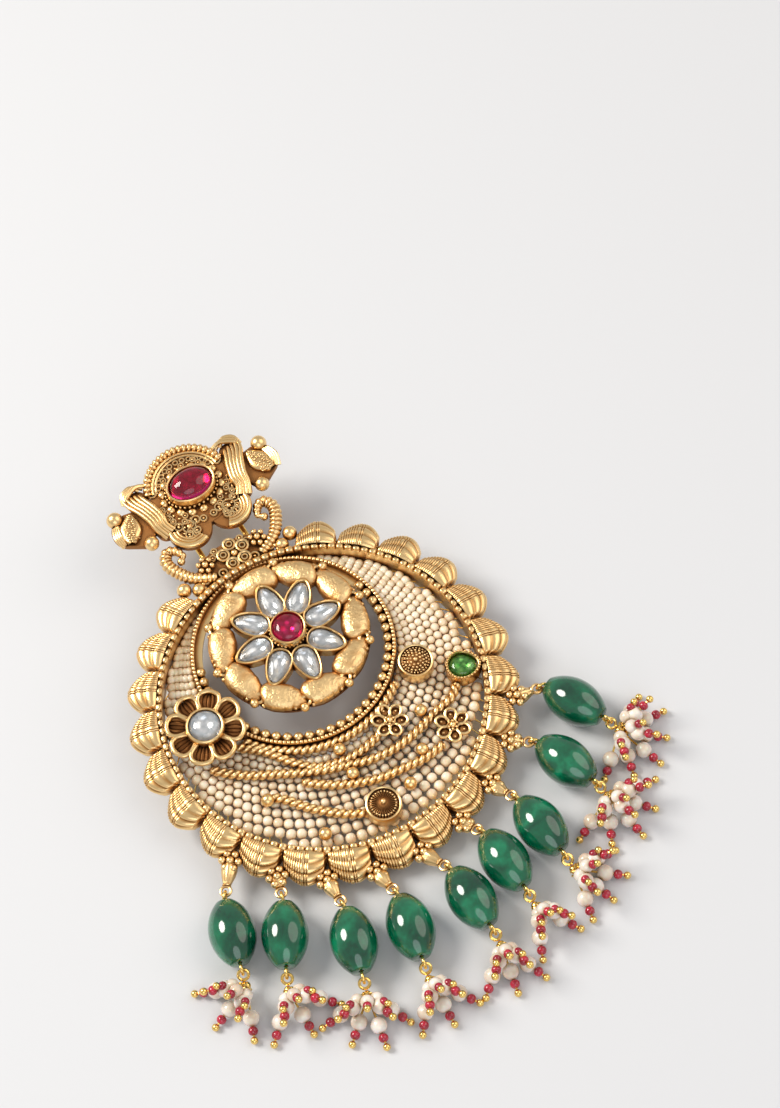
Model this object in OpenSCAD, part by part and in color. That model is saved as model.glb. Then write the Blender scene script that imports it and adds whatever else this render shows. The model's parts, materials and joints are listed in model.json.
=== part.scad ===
// Chandbali earring lying face up: a stud hinged to a crescent frame with nine bead drops.
// Millimetres, +Z up, the surface that it lies on is z = 0, +Y points from the drops to the stud.
// The crescent, crown and stud are drawn flat, from the centre of the crescent's ring with their
// backs at z = 0, and are then laid down: the stud is propped on its post, so they slope a little.

/* [Ring] */
// Outer diameter of the ring wall
ring_d = 56; // [50:1:62]
// Thickness of the ring wall
ring_wall = 1.2; // [0.9:0.1:1.6]
// Depth of the ring wall from back to front
ring_h = 5; // [4.5:0.25:6]
// Outer diameter of the inner ring that holds the medallion
inner_d = 34.6; // [33:0.2:36]
// Thickness of the inner ring's wall
inner_wall = 0.6; // [0.5:0.1:0.9]
// Depth of the inner ring's wall
inner_h = 4.1; // [3.6:0.1:4.6]
// Diameter of the bead row along the inner ring
row_bead_d = 1.7; // [1.3:0.1:1.9]
// Half of the arc that the bead row covers, in degrees from the lowest point
row_half_arc = 106; // [80:1:112]

/* [Shells] */
// Number of ribbed shells round the ring
shell_count = 22; // [18:2:24]
// Arc that the crown takes at the top of the ring, in degrees
crown_arc = 41; // [38:1:48]
// How far a shell stands out from the ring wall
shell_out = 4.9; // [4:0.1:5.5]
// Depth of a shell from back to front
shell_h = 5.5; // [4.8:0.1:6]
// Depth of the grooves between a shell's ribs
rib_deep = 0.28; // [0.1:0.02:0.4]

/* [Crown] */
// Distance of each scroll horn's outermost bend from the middle of the crown
horn_apart = 10.5; // [10:0.1:11]
// Height of a horn's top bend over the ring
horn_up = 9; // [8.6:0.1:9.4]
// Thickness of a horn at its widest
horn_d = 2.8; // [2.4:0.1:3]
// Diameter of the balls beside the crown
crown_ball_d = 2.6; // [2.4:0.1:2.8]
// Height of the pierced plate above the ring
plate_up = 5.6; // [4.8:0.1:6]

/* [Medallion] */
// Diameter over the ten curved segments
medallion_d = 28; // [27:0.2:28.4]
// Height of the segments
segment_h = 2.6; // [2:0.1:3.2]
// Thickness of the star plate under the stones
star_h = 0.9; // [0.7:0.1:1.2]
// Diameter of the granules at the segments' joints
granule_d = 1.6; // [1.3:0.1:1.8]
// Diameter of the round ruby
ruby_d = 5.2; // [4.6:0.1:5.4]
// Width of a pear stone
pear_w = 3.7; // [3.3:0.1:3.8]
// Length of a pear stone
pear_l = 5.9; // [5.4:0.1:6.2]
// Thickness of the bezels round the stones
bezel_wall = 0.4; // [0.3:0.05:0.45]
// Gap between a stone and its bezel
stone_gap = 0.06; // [0.05:0.01:0.1]

/* [Ornaments] */
// Diameter of the large flower on the crescent
flower_d = 13.6; // [12:0.2:14]
// Diameter of the flower's clear stone
flower_stone_d = 5.3; // [4.6:0.1:5.6]
// Diameter of the two milled domes
dome_d = 6; // [5:0.2:6.4]
// Diameter of the wire flowers
wire_flower_d = 6.2; // [5.4:0.2:6.6]
// Diameter of the twisted ropes
rope_d = 1.5; // [1.2:0.1:1.7]
// Diameter of the balls between the ropes
ball_d = 2.2; // [1.8:0.1:2.4]
// Width of the green stone
green_w = 4.2; // [3.6:0.1:4.4]
// Thickness of the pearl field
field_h = 1.5; // [1.2:0.1:1.7]
// Height of the pearl field's underside over the ring's back
field_z = 0.6; // [0.3:0.1:0.8]

/* [Drops] */
// Width of a green bead
bead_d = 7.6; // [7:0.1:7.7]
// Length of a green bead
bead_l = 10.6; // [9.6:0.1:10.8]
// Diameter of a bead's flat ends
bead_end_d = 3.2; // [2.6:0.1:3.8]
// Diameter of the bead wire
wire_d = 0.52; // [0.44:0.02:0.56]
// Clearance between the wire and a bead's hole, at each side
wire_gap = 0.14; // [0.1:0.02:0.2]
// Diameter of the wire loops, measured on the wire's middle
loop_d = 1.64; // [1.56:0.02:1.8]
// Diameter of a tassel pearl
pearl_d = 2.7; // [2.4:0.1:2.9]
// Diameter of the red seed bead on a pin
seed_d = 1.6; // [1.4:0.1:1.8]
// Diameter of the gold ball that ends a pin
tip_d = 1.25; // [1.1:0.05:1.4]

/* [Stud] */
// Thickness of the stud's cast plate
stud_plate_h = 1.3; // [1:0.1:1.6]
// Height of the stud plate's back over the ring's back
stud_z = 3; // [2.8:0.1:3.4]
// Length of the oval ruby, across the stud
oval_l = 7.8; // [7:0.1:8.2]
// Width of the oval ruby
oval_w = 5.7; // [5:0.1:6]
// Height of the ruby's bezel over the plate
oval_up = 2.6; // [2:0.1:3]
// Diameter of the ear post
post_d = 0.9; // [0.8:0.02:1]
// Length of the ear post behind the plate
post_l = 11; // [10:0.25:12]
// Diameter of the push nut's pad
nut_pad_d = 9.4; // [8:0.2:10]
// Thickness of the push nut's pad
nut_pad_h = 0.8; // [0.6:0.1:1]
// Length of the push nut's barrel
nut_barrel_l = 4.8; // [4:0.2:5]
// Diameter of the push nut's barrel
nut_barrel_d = 4; // [3.4:0.1:4.6]
// Running clearance round the post in the nut, at each side
nut_fit = 0.05; // [0.02:0.01:0.08]
// Where the nut stands, measured from the plate's back to its pad
nut_at = 5; // [4:0.25:5.2]

/* [Hinge] */
// Outer diameter of the hinge tube
tube_d = 2; // [1.8:0.05:2.1]
// Length of the hinge tube
tube_l = 6; // [4:0.2:7]
// Diameter of the bail wire that runs through the tube
bail_d = 1; // [0.9:0.02:1.1]
// Running clearance round the bail wire in the tube, at each side
bail_fit = 0.06; // [0.03:0.01:0.1]
// Length of the bail's arms, from the hinge to the solder on the plate
bail_arm = 6.4; // [6:0.1:6.8]

/* [Hidden] */

GOLD = [0.79, 0.62, 0.38];
BRIGHT_GOLD = [0.90, 0.74, 0.40];
RUBY = [0.72, 0.05, 0.32];
CLEAR = [0.90, 0.92, 0.92];
EMERALD = [0.02, 0.42, 0.26];
PALE_GREEN = [0.48, 0.72, 0.45];
PEARL = [0.93, 0.89, 0.83];

SKIN = 0.1;          // gap between neighbouring pieces
SINK = 0.3;          // how far soldered shapes run into each other
ring_r = ring_d / 2;
inner_r = inner_d / 2;
shell_pitch = (360 - crown_arc) / shell_count;
shell_sides = 9;     // points round a shell's bulge
shell_steps = 5;     // sections along a shell

// The inner ring is soldered to the top of the outer one, and the medallion hangs under its top.
inner_y = ring_r - ring_wall - inner_r + SINK + 0.2;
ledge_w = 1.9;       // width of the shelf inside the inner ring
ledge_z = 2.2;       // height of the shelf's underside
ledge_h = 0.6;       // thickness of the shelf
row_r = inner_r - inner_wall - row_bead_d / 2 + SKIN;
row_z = ledge_z + ledge_h + row_bead_d * 0.38;
medallion_r = medallion_d / 2;
medallion_z = row_z + row_bead_d / 2 + SKIN;
medallion_x = 0.4;   // the medallion is set by hand, a little off the middle
granule_out = granule_d / 2 - 0.25;
medallion_y = inner_y + inner_r - inner_wall - medallion_r - granule_out - 3 * SKIN;

// The stones of the medallion, from the middle outwards.
ruby_wall_r = ruby_d / 2 + stone_gap + bezel_wall;
pear_back = pear_w / 2 + stone_gap + bezel_wall;
pear_ring_r = ruby_wall_r + pear_back + 0.05;
star_in = 6.2;       // radius of the star plate's inner corners
star_out = pear_ring_r + pear_l - pear_w / 2 + 0.7;
pear_up = 2.5;       // height of a pear bezel over the medallion's back
ruby_up = 4.3;       // height of the ruby bezel over the medallion's back

// Cut stones: shares of a stone's half width for the table and the crown and pavilion heights.
TABLE_SHARE = 0.58;
CROWN_SHARE = 0.32;
GIRDLE = 0.16;
ROUND_SIDES = 14;    // sides of a round stone and of its bezel

// Hinge axis, behind the crown's top edge.
hinge_y = ring_r + plate_up - 0.2;
hinge_z = tube_d / 2 + 0.1;
plate_z = hinge_z + tube_d / 2 + SKIN;
plate_h = 1.1;
bail_x = tube_l / 2 + bail_d / 2 + 0.75;

// The stud, measured from the hinge axis upwards.
stud_rise = 11.9;    // from the hinge axis to the middle of the oval ruby
stud_y = hinge_y + stud_rise;
post_tip_z = stud_z - post_l;
wing_x = 8.6;
fan_x = 12.9;
lobe_r = 3.9;        // lobes below the ruby
arch_y = 1.1;        // the milled arch's centre, above the stud's
arch_r = 7.3;
arch_d = 1.5;

// Drop table: cap place counted in shells from the lowest joint, way and distance from the cap to
// the bead's middle, turn of the bead, way and half spread of the tassel. Degrees are measured
// from straight down the earring towards +X.
DROPS = [
    [-4, -27.5, 12.0, -15, -70, 48],
    [-3, -22.0, 10.0, -27,   0, 46],
    [-2,  -8.0, 11.4, -17, -30, 58],
    [-1,  -2.0, 11.2, -12,  -2, 37],
    [ 0,  11.2, 11.4,   0, -13, 36],
    [ 1,  12.0,  9.8,   1,   4, 29],
    [ 2,  13.2, 10.9,   4,  38, 50],
    [ 3,  35.0,  9.7,  18,   8, 74],
    [ 4,  53.0,  9.5,  24,  36, 86]];
CAP = 0; SWING = 1; REACH = 2; TURN = 3; FAN = 4; SPREAD = 5;
cap_out = 4.2;       // a cap's middle, from the ring wall
cap_z = 3;           // a cap's middle, over the ring's back
cap_d = 3.7;
loop_r = loop_d / 2;
link_step = loop_r + 0.1;
shank_d = wire_d - 0.08; // the straight wire, drawn a little thinner than its loops
bead_end_gap = 0.3;  // bare wire between a bead and its loop
pin_reach = 5.0;     // from a tassel's head to the middle of its lower pearls
pin_d = 0.5;
head_d = 2.8;
tip_from_pearl = pearl_d / 2 + seed_d + tip_d / 2; // from a pearl's middle to its pin's end ball

// A horn's middle line from the ring to its curled end, as shares of its reach and height.
HORN = [[0.42, 0.05], [0.75, 0.27], [0.94, 0.58], [1, 0.82], [0.91, 1], [0.78, 0.96], [0.71, 0.80]];
// The two balls at each foot of the crown: distance from the ring wall, angle from the top.
CROWN_BALLS = [[3.1, 19.5], [1.2, 16.2]];
// Places on the crescent: degrees from the lowest point towards +X, and the share of the way from
// the inner ring to the ring wall, where 0 and 1 let the piece just clear them.
ROPE_2 = [[-89, 0.179], [-75.7, 0.066], [-53.1, 0.153], [-34, 0.21], [-12.2, 0.206], [7, 0.19],
          [24.4, 0.172]];
ROPE_3 = [[-86.4, 0.698], [-79.2, 0.551], [-70.3, 0.419], [-57.8, 0.301], [-41.2, 0.257],
          [-20.4, 0.252], [2.4, 0.309], [20.6, 0.381], [36.9, 0.458], [49.5, 0.553],
          [57.7, 0.691], [64.7, 0.75]];
ROPE_4 = [[-43.5, 0.363], [-26.6, 0.406], [-11.9, 0.453], [1.9, 0.515], [13.3, 0.567],
          [25.5, 0.667], [36.1, 0.757]];
ROPE_5 = [[-56.4, 0.583], [-48.6, 0.572], [-39.2, 0.615], [-29.1, 0.665], [-19.4, 0.722],
          [-9.5, 0.778]];
BALLS = [[-11, 0.359], [-14.6, 0.079], [49.1, 0.407], [28.4, 0.608], [11.8, 0.748],
         [-56.8, 0.67], [-29.4, 0.832]];
FLOWER_AT = [-102.4, 0.239];
DOME_A_AT = [78.2, 0.125];
DOME_C_AT = [-3.8, 0.889];
WIRE_FLOWERS_AT = [[36.5, 0.05], [44.4, 0.882]];
GREEN_AT = [70.2, 0.991];
ROPE_HALF_ARC = [-57, 40]; // ends of the rope that follows the inner ring

// What lies on the pearl field stands this high.
top_z = field_z + field_h + SKIN;
rope_z = top_z + rope_d / 2;

// Laying down: the slope between the lowest shells and the tip of the post.
foot = concat([[0, -ring_r, 0]],
    [for (s = [0:shell_steps - 1]) for (p = shell_ring(s)) on_ring(p, shell_pitch / 2)]);
tilt = min([for (p = foot) atan2(p.z - post_tip_z, stud_y - post_d / 2 - p.y)]);
lift = -min([for (p = foot) tilted(p).z]);

// Every point of the tassels, to find the middle of the whole.
pin_ends = [for (i = [0:8]) for (j = [0:pin_count(i) - 1]) pin_tip(i, j)];
reach_x = [min([for (p = pin_ends) p.x]) - tip_d / 2, max([for (p = pin_ends) p.x]) + tip_d / 2];
stud_top = [0, stud_y + arch_y + arch_r + arch_d / 2, stud_z + stud_plate_h];
reach_y = [min([for (p = pin_ends) p.y]) - tip_d / 2, tilted(stud_top).y];
middle = [(reach_x[0] + reach_x[1]) / 2, (reach_y[0] + reach_y[1]) / 2];

// A point at radius r, at angle a from straight down the earring towards +X.
function polar(r, a) = [r * sin(a), -r * cos(a)];
function tilted(p) = [p.x, p.y * cos(tilt) - p.z * sin(tilt), p.y * sin(tilt) + p.z * cos(tilt)];
function laid(p) = tilted(p) + [0, 0, lift];
function unit(v) = v / norm(v);

// Smooth line through points: the cubic that passes each of them.
function through(p, n) =
    [for (i = [0:len(p) - 2]) for (k = [0:n - 1]) spline_at(p, i, k / n), p[len(p) - 1]];
function spline_at(p, i, t) =
    let (a = p[max(i - 1, 0)], b = p[i], c = p[i + 1], d = p[min(i + 2, len(p) - 1)])
    0.5 * (2 * b + (c - a) * t + (2 * a - 5 * b + 4 * c - d) * t * t + (3 * b - a - 3 * c + d) * t * t * t);

// Closed solid through equal rings of points.
module loft(rings) {
    n = len(rings[0]);
    m = len(rings);
    polyhedron(
        points = [for (r = rings) for (p = r) p],
        faces = concat(
            [[for (k = [0:n - 1]) k]],
            [for (i = [0:m - 2]) for (k = [0:n - 1])
                [i * n + k, (i + 1) * n + k, (i + 1) * n + (k + 1) % n]],
            [for (i = [0:m - 2]) for (k = [0:n - 1])
                [i * n + k, (i + 1) * n + (k + 1) % n, i * n + (k + 1) % n]],
            [[for (k = [n - 1:-1:0]) (m - 1) * n + k]]),
        convexity = 4);
}

// Round bar along a path, with a radius for each of its points.
module bar(path, radii, sides) {
    m = len(path);
    loft([for (i = [0:m - 1])
        let (t = unit(path[min(i + 1, m - 1)] - path[max(i - 1, 0)]),
             u = unit(cross([0, 0, 1], t)),
             v = cross(t, u))
        [for (k = [0:sides - 1])
            path[i] - radii[i] * (cos(360 * k / sides) * u + sin(360 * k / sides) * v)]]);
}

// Straight rod between two points.
module rod(a, b, r1, r2) {
    v = b - a;
    translate(a)
        rotate([0, acos(v.z / norm(v)), atan2(v.y, v.x)])
            cylinder(h = norm(v), r1 = r1, r2 = r2, $fn = 24);
}

// Wire ring, its axis along +Z.
module wire_ring(r, wire, sides, ring_sides) {
    rotate_extrude($fn = sides) translate([r, 0]) circle(d = wire, $fn = ring_sides);
}

module lay_down() {
    translate([-middle.x, -middle.y, lift]) rotate([tilt, 0, 0]) children();
}

module on_surface() {
    translate([-middle.x, -middle.y, 0]) children();
}

// Shells

// Width of the bulge along a shell, 0 at its start and 1 at its tip.
function shell_swell(t) = 0.42 + 0.58 * pow(sin(180 * (0.06 + 0.88 * t)), 0.8);
function shell_ring(s) =
    let (t = s / (shell_steps - 1), k = shell_swell(t), mid = shell_h / 2)
    [for (j = [0:shell_sides - 1])
        let (f = -90 + 180 * j / (shell_sides - 1),
             groove = j % 2 == 1 || j == 0 || j == shell_sides - 1 ? 0 : rib_deep)
        [shell_pitch * 0.49 * (1 - 2 * t), (shell_out * k - groove) * cos(f) - SINK * (1 - cos(f)),
         mid + (mid * (0.55 + 0.45 * k) - groove * 0.5) * sin(f)]];

// Places a shell's point, in degrees along the ring, outwards and up, at an angle round the ring.
function on_ring(p, a) = concat(polar(ring_r + p.y, a + p.x), [p.z]);

module shell_at(k) {
    loft([for (s = [0:shell_steps - 1])
        [for (p = shell_ring(s)) on_ring(p, (k + 0.5) * shell_pitch)]]);
}

module outer_wall() {
    rim = 0.35;
    rotate_extrude($fn = 48)
        polygon([[ring_r - ring_wall, 0], [ring_r, 0], [ring_r, ring_h - rim],
                 [ring_r - rim, ring_h], [ring_r - ring_wall, ring_h]]);
}

module inner_wall_and_row() {
    translate([0, inner_y, 0]) {
        rotate_extrude($fn = 32)
            polygon([[inner_r - ledge_w, ledge_z], [inner_r - inner_wall, ledge_z],
                     [inner_r - inner_wall, field_z],
                     [inner_r, field_z], [inner_r, inner_h], [inner_r - inner_wall, inner_h],
                     [inner_r - inner_wall, ledge_z + ledge_h], [inner_r - ledge_w, ledge_z + ledge_h]]);
        rotate([0, 0, -90 - row_half_arc])
            rotate_extrude(angle = 2 * row_half_arc, $fn = 32)
                translate([row_r, row_z]) circle(d = row_bead_d, $fn = 6);
    }
}

// Crown

module horn(side) {
    route = [for (p = HORN) [p.x * horn_apart, p.y * horn_up]];
    n = len(route) - 1;
    bar([for (p = route) [side * p.x, ring_r + p.y, plate_z + horn_d * 0.4]],
        [for (i = [0:n]) horn_d / 2 * (0.72 + 0.28 * sin(180 * i / n) - 0.32 * i / n)], 6);
}

module crown_plate() {
    translate([0, 0, plate_z])
        linear_extrude(plate_h)
            polygon([[-6.2, ring_r - SINK - 0.9], [6.2, ring_r - SINK - 0.9], [7.4, ring_r + 2.6],
                     [5.4, ring_r + plate_up - 0.9], [1.8, ring_r + plate_up],
                     [-1.8, ring_r + plate_up], [-5.4, ring_r + plate_up - 0.9], [-7.4, ring_r + 2.6]]);
}

module crown() {
    crown_plate();
    out = 1.75;
    for (side = [-1, 1]) {
        horn(side);
        for (b = CROWN_BALLS)
            translate(concat(polar(ring_r + b[0], 180 - side * b[1]), [ring_h * 0.65]))
                hull() sphere(d = crown_ball_d, $fn = 6);
        translate([side * 5.1, ring_r + 3.2, plate_z + plate_h - SKIN])
            cylinder(d1 = 3.6, d2 = 2.2, h = 1.1, $fn = 8);
    }
    for (i = [0:4])
        translate([0.3 + out * sin(72 * i), ring_r + 2.7 + out * cos(72 * i), plate_z + plate_h - SKIN])
            hull() cylinder(d = 2, h = 1, $fn = 8);
    translate([0.3, ring_r + 2.7, plate_z + plate_h - SKIN]) cylinder(d = 1.6, h = 1.3, $fn = 8);
}

// Caps that carry the drops

function drop(i) = DROPS[i];
function cap_at(i) = laid(concat(polar(ring_r + cap_out, drop(i)[CAP] * shell_pitch), [cap_z]));
function way(a) = [sin(a), -cos(a), 0];
function bead_at(i) =
    let (c = cap_at(i), w = way(drop(i)[SWING]) * drop(i)[REACH])
    [c.x + w.x, c.y + w.y, bead_d / 2];
function bead_way(i) = way(drop(i)[TURN]);
function bead_top(i) = bead_at(i) - bead_way(i) * (bead_l / 2 + bead_end_gap);
function bead_foot(i) = bead_at(i) + bead_way(i) * (bead_l / 2 + bead_end_gap);
function cap_way(i) = unit(bead_top(i) - cap_at(i));
function top_loop(i) = bead_top(i) - cap_way(i) * loop_r;
function cap_loop(i) = top_loop(i) - cap_way(i) * link_step;

// Turns a ring's axis from +Z: lying along a way, or standing in the plane of a way and +Z.
module ring_along(w, standing) {
    rotate([0, 0, atan2(w.y, w.x)])
        rotate([0, -atan2(w.z, norm([w.x, w.y])), 0])
            rotate([standing ? 90 : 0, 0, 0])
                children();
}

module cap(i) {
    c = cap_at(i);
    w = cap_way(i);
    end = cap_loop(i) - w * (loop_r + 0.2);
    hull() {
        translate(c) sphere(d = cap_d, $fn = 6);
        translate(end) sphere(d = 1.1, $fn = 5);
    }
    translate(cap_loop(i)) ring_along(w, false) wire_ring(loop_r, wire_d, 8, 5);
}

module crescent_frame() color(GOLD) union() {
    lay_down() {
        outer_wall();
        inner_wall_and_row();
        for (k = [-shell_count / 2:shell_count / 2 - 1]) shell_at(k);
        crown();
    }
    on_surface() for (i = [0:8]) cap(i);
}

module hinge_tube() color(GOLD) lay_down()
    translate([0, hinge_y, hinge_z]) rotate([0, 90, 0]) difference() {
        cylinder(d = tube_d, h = tube_l, center = true, $fn = 40);
        cylinder(d = bail_d + 2 * bail_fit, h = tube_l + 1, center = true, $fn = 40);
    }

module pearl_field() color(PEARL) lay_down() translate([0, 0, field_z]) difference() {
    cylinder(r = ring_r - ring_wall - SKIN, h = field_h, $fn = 96);
    translate([0, inner_y, -1]) cylinder(r = inner_r + SKIN, h = field_h + 2, $fn = 96);
}

// Medallion

module segment() {
    // One curved leaf: a thick head and a thinner tail, domed.
    head = [medallion_r - 2.45, -6.5];
    tail = [medallion_r - 2.15, 11.5];
    hull() {
        place(head) cylinder(r = 2.45, h = segment_h * 0.5, $fn = 10);
        place(tail) cylinder(r = 2, h = segment_h * 0.5, $fn = 8);
        place(head) cylinder(r = 1.2, h = segment_h, $fn = 6);
        place(tail) cylinder(r = 0.9, h = segment_h * 0.9, $fn = 6);
    }
}

module place(at) {
    translate(concat(polar(at[0], at[1]), [0])) children();
}

// Outline of a pear stone about the middle of its round end, the tip along -Y.
function drop_outline(half, tip, grow, n) = [for (k = [0:n - 1])
    let (c = cos(360 * k / n), s = sin(360 * k / n))
    [-(half + grow) * s * (c < 0 ? 1 - 0.16 * pow(-c, 2.2) : 1),
     c > 0 ? (half + grow) * c : (tip + grow * 1.4) * c]];
function pear(grow) = drop_outline(pear_w / 2, pear_l - pear_w / 2, grow, 12);

module at_medallion() {
    lay_down() translate([medallion_x, medallion_y, medallion_z]) children();
}

module medallion_setting() color(GOLD) at_medallion() difference() {
    union() {
        for (i = [0:9]) rotate([0, 0, 36 * i]) {
            segment();
            translate(concat(polar(medallion_r - 0.25, -18), [segment_h * 0.45]))
                sphere(d = granule_d, $fn = 6);
        }
        linear_extrude(star_h)
            polygon([for (i = [0:15]) polar(i % 2 == 0 ? star_out : star_in, 22.5 * i)]);
        for (i = [0:7]) rotate([0, 0, 45 * i]) translate([0, -pear_ring_r, 0])
            linear_extrude(pear_up) polygon(pear(stone_gap + bezel_wall));
        cylinder(r = ruby_wall_r, h = ruby_up, $fn = ROUND_SIDES);
    }
    for (i = [0:7]) rotate([0, 0, 45 * i]) translate([0, -pear_ring_r, star_h])
        linear_extrude(pear_up) polygon(pear(stone_gap));
    translate([0, 0, ruby_up - ruby_seat])
        cylinder(r = ruby_d / 2 + stone_gap, h = ruby_up, $fn = ROUND_SIDES);
}

// A cut stone on any outline: pavilion, girdle, crown and table. Its girdle's foot is at z = 0.
module cut_stone(outline, half, deep) {
    function level(share, z) = [for (p = outline) [p.x * share, p.y * share, z]];
    loft([level(0.3, -deep), level(1, 0), level(1, GIRDLE),
          level(TABLE_SHARE, GIRDLE + half * CROWN_SHARE)]);
}

function round_outline(r, n) = [for (k = [0:n - 1]) [r * cos(360 * k / n), r * sin(360 * k / n)]];
pear_seat = 0.9;     // depth of a pear stone's girdle below the top of its bezel
ruby_seat = 1.9;
pear_deep = pear_up - star_h - pear_seat - 0.05;

module pear_stone(i) color(CLEAR) at_medallion()
    rotate([0, 0, 45 * i]) translate([0, -pear_ring_r, pear_up - pear_seat + 0.25])
        cut_stone(pear(0), pear_w / 2, pear_deep);

module medallion_ruby() color(RUBY) at_medallion()
    translate([0, 0, ruby_up - 0.45])
        cut_stone(round_outline(ruby_d / 2, ROUND_SIDES), ruby_d / 2, ruby_seat - 0.5);

// Ornaments on the crescent

// Radius at which a line from the ring's middle leaves the inner ring.
function inner_edge(a) = let (c = inner_y * cos(a)) sqrt(inner_r * inner_r - inner_y * inner_y + c * c) - c;
function spot(at, half) =
    let (start = inner_edge(at[0]) + half + SKIN, end = ring_r - ring_wall - half - SKIN)
    polar(start + (end - start) * at[1], at[0]);
module at_spot(at, half, z) {
    translate(concat(spot(at, half), [z])) children();
}

function widths(n, r) = [for (i = [0:n - 1]) r * (i == 0 || i == n - 1 ? 0.8 : 1)];
module rope(route) {
    path = [for (p = route) concat(spot(p, rope_d / 2), [rope_z])];
    bar(path, widths(len(path), rope_d / 2), 5);
}

module ring_rope() {
    n = 12;
    r = inner_r + rope_d / 2 + SKIN;
    path = [for (i = [0:n])
        let (p = polar(r, ROPE_HALF_ARC[0] + (ROPE_HALF_ARC[1] - ROPE_HALF_ARC[0]) * i / n))
        [p.x, p.y + inner_y, rope_z]];
    bar(path, widths(n + 1, rope_d / 2), 5);
}

flower_z = medallion_z + 0.3;  // underside of the flower's petals, over the bead row
flower_wall_r = flower_stone_d / 2 + stone_gap + bezel_wall + 0.1;
flower_up = 2.5;               // height of the flower stone's bezel over the petals' underside
flower_seat = 0.9;
flower_post_r = 2.4;           // the post under the petals
petal_r = flower_d * 0.154;

module large_flower() {
    at_spot(FLOWER_AT, flower_post_r, top_z) {
        cylinder(r = flower_post_r, h = flower_z - top_z + SINK, $fn = 12);
        translate([0, 0, flower_z - top_z]) difference() {
            cylinder(r = flower_wall_r, h = flower_up, $fn = ROUND_SIDES);
            translate([0, 0, flower_up - flower_seat - 0.3])
                cylinder(r = flower_stone_d / 2 + stone_gap, h = 3, $fn = ROUND_SIDES);
        }
        translate([0, 0, flower_z - top_z]) difference() {
            union() {
                translate([0, 0, 0.3]) cylinder(r = flower_d / 2 - petal_r, h = 0.6, $fn = 8);
                for (i = [0:7]) rotate([0, 0, 45 * i + 10]) flower_petal();
            }
            for (i = [0:7]) rotate([0, 0, 45 * i + 10]) translate([0, petal_r - flower_d / 2, 1])
                cylinder(r1 = petal_r * 0.43, r2 = petal_r * 0.71, h = 1, $fn = 6);
        }
    }
}

module flower_petal() {
    hull() {
        translate([0, -flower_wall_r, 0.2]) cylinder(r = 1, h = 0.9, $fn = 6);
        translate([0, petal_r - flower_d / 2, 0.5]) cylinder(r = petal_r, h = 1.2, $fn = 8);
    }
}

module flower_stone() color(CLEAR) lay_down()
    at_spot(FLOWER_AT, flower_post_r, flower_z + flower_up - flower_seat + 0.45) cut_stone(round_outline(flower_stone_d / 2, ROUND_SIDES), flower_stone_d / 2, flower_seat - 0.2);

dome_h = 3.2;
module dome(cone) {
    r = dome_d / 2;
    rotate_extrude($fn = 12)
        polygon([[0, 0], [r - 0.15, 0], [r, 0.4], [r, dome_h - 0.4], [r - 0.3, dome_h],
                 [r - 0.75, dome_h - 0.5],
                 [r * 0.5, dome_h + (cone ? 0.15 : 0.3)], [0, dome_h + (cone ? 1 : 0.45)]]);
}

module wire_flower() {
    petal = wire_flower_d * 0.19;
    for (i = [0:5]) rotate([0, 0, 60 * i])
        translate([0, wire_flower_d / 2 - petal, 0.5]) cylinder(r = petal, h = 1.2, $fn = 6);
    cylinder(r = wire_flower_d * 0.3, h = 1.1, $fn = 6);
    translate([0, 0, 1]) sphere(d = 1.6, $fn = 6);
}

green_h = 3;
green_turn = 65;
green_seat = 0.9;
green_half = green_w * 0.62 + 0.5;
function green(grow) = drop_outline(green_w / 2, green_w * 0.62, grow, 16);

module green_bezel() difference() {
    linear_extrude(green_h) polygon(green(stone_gap + bezel_wall));
    translate([0, 0, green_h - green_seat]) linear_extrude(green_h) polygon(green(stone_gap));
}

module green_stone() color(PALE_GREEN) lay_down()
    at_spot(GREEN_AT, green_half, top_z + green_h - green_seat + 0.08) rotate([0, 0, green_turn])
        loft([for (q = [[0.96, 0], [1, 0.15], [1, 0.6], [0.86, 0.85], [0.6, 1]])
            [for (p = green(0)) [p.x * q[0], p.y * q[0], q[1]]]]);

module ornament_spray() color(GOLD) lay_down() union() {
    ring_rope();
    for (r = [ROPE_2, ROPE_3, ROPE_4, ROPE_5]) rope(r);
    for (b = BALLS) at_spot(b, ball_d / 2, top_z + ball_d / 2) hull() sphere(d = ball_d, $fn = 6);
    large_flower();
    at_spot(DOME_A_AT, dome_d / 2, top_z) dome(false);
    at_spot(DOME_C_AT, dome_d / 2, top_z) dome(true);
    for (f = WIRE_FLOWERS_AT) at_spot(f, wire_flower_d / 2, top_z) wire_flower();
    at_spot(GREEN_AT, green_half, top_z) rotate([0, 0, green_turn]) green_bezel();
}

// Drops

module green_bead(i) color(EMERALD) on_surface() {
    side = bead_d / 2 - bead_end_d / 2;
    arc_r = (side * side + bead_l * bead_l / 4) / (2 * side);
    translate(bead_at(i)) rotate([0, 0, drop(i)[TURN]]) rotate([90, 0, 0])
        rotate_extrude($fn = 64) intersection() {
            translate([bead_d / 2 - arc_r, 0]) circle(r = arc_r, $fn = 128);
            translate([wire_d / 2 + wire_gap, -bead_l / 2]) square([bead_d, bead_l]);
        }
}

function foot_loop(i) = bead_foot(i) + bead_way(i) * loop_r;
function head_way(i) = let (w = bead_way(i)) unit([w.x, w.y, -0.62]);
function head_loop(i) = foot_loop(i) + head_way(i) * link_step;
function head_at(i) = head_loop(i) + head_way(i) * (loop_r + head_d * 0.36);

module bead_wires() color(BRIGHT_GOLD) on_surface() for (i = [0:8]) {
    union() {
        translate(top_loop(i)) ring_along(cap_way(i), true) wire_ring(loop_r, wire_d, 24, 16);
        rod(bead_top(i), bead_foot(i), shank_d / 2, shank_d / 2);
        translate(foot_loop(i)) ring_along(bead_way(i), true) wire_ring(loop_r, wire_d, 24, 16);
    }
}

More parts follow.
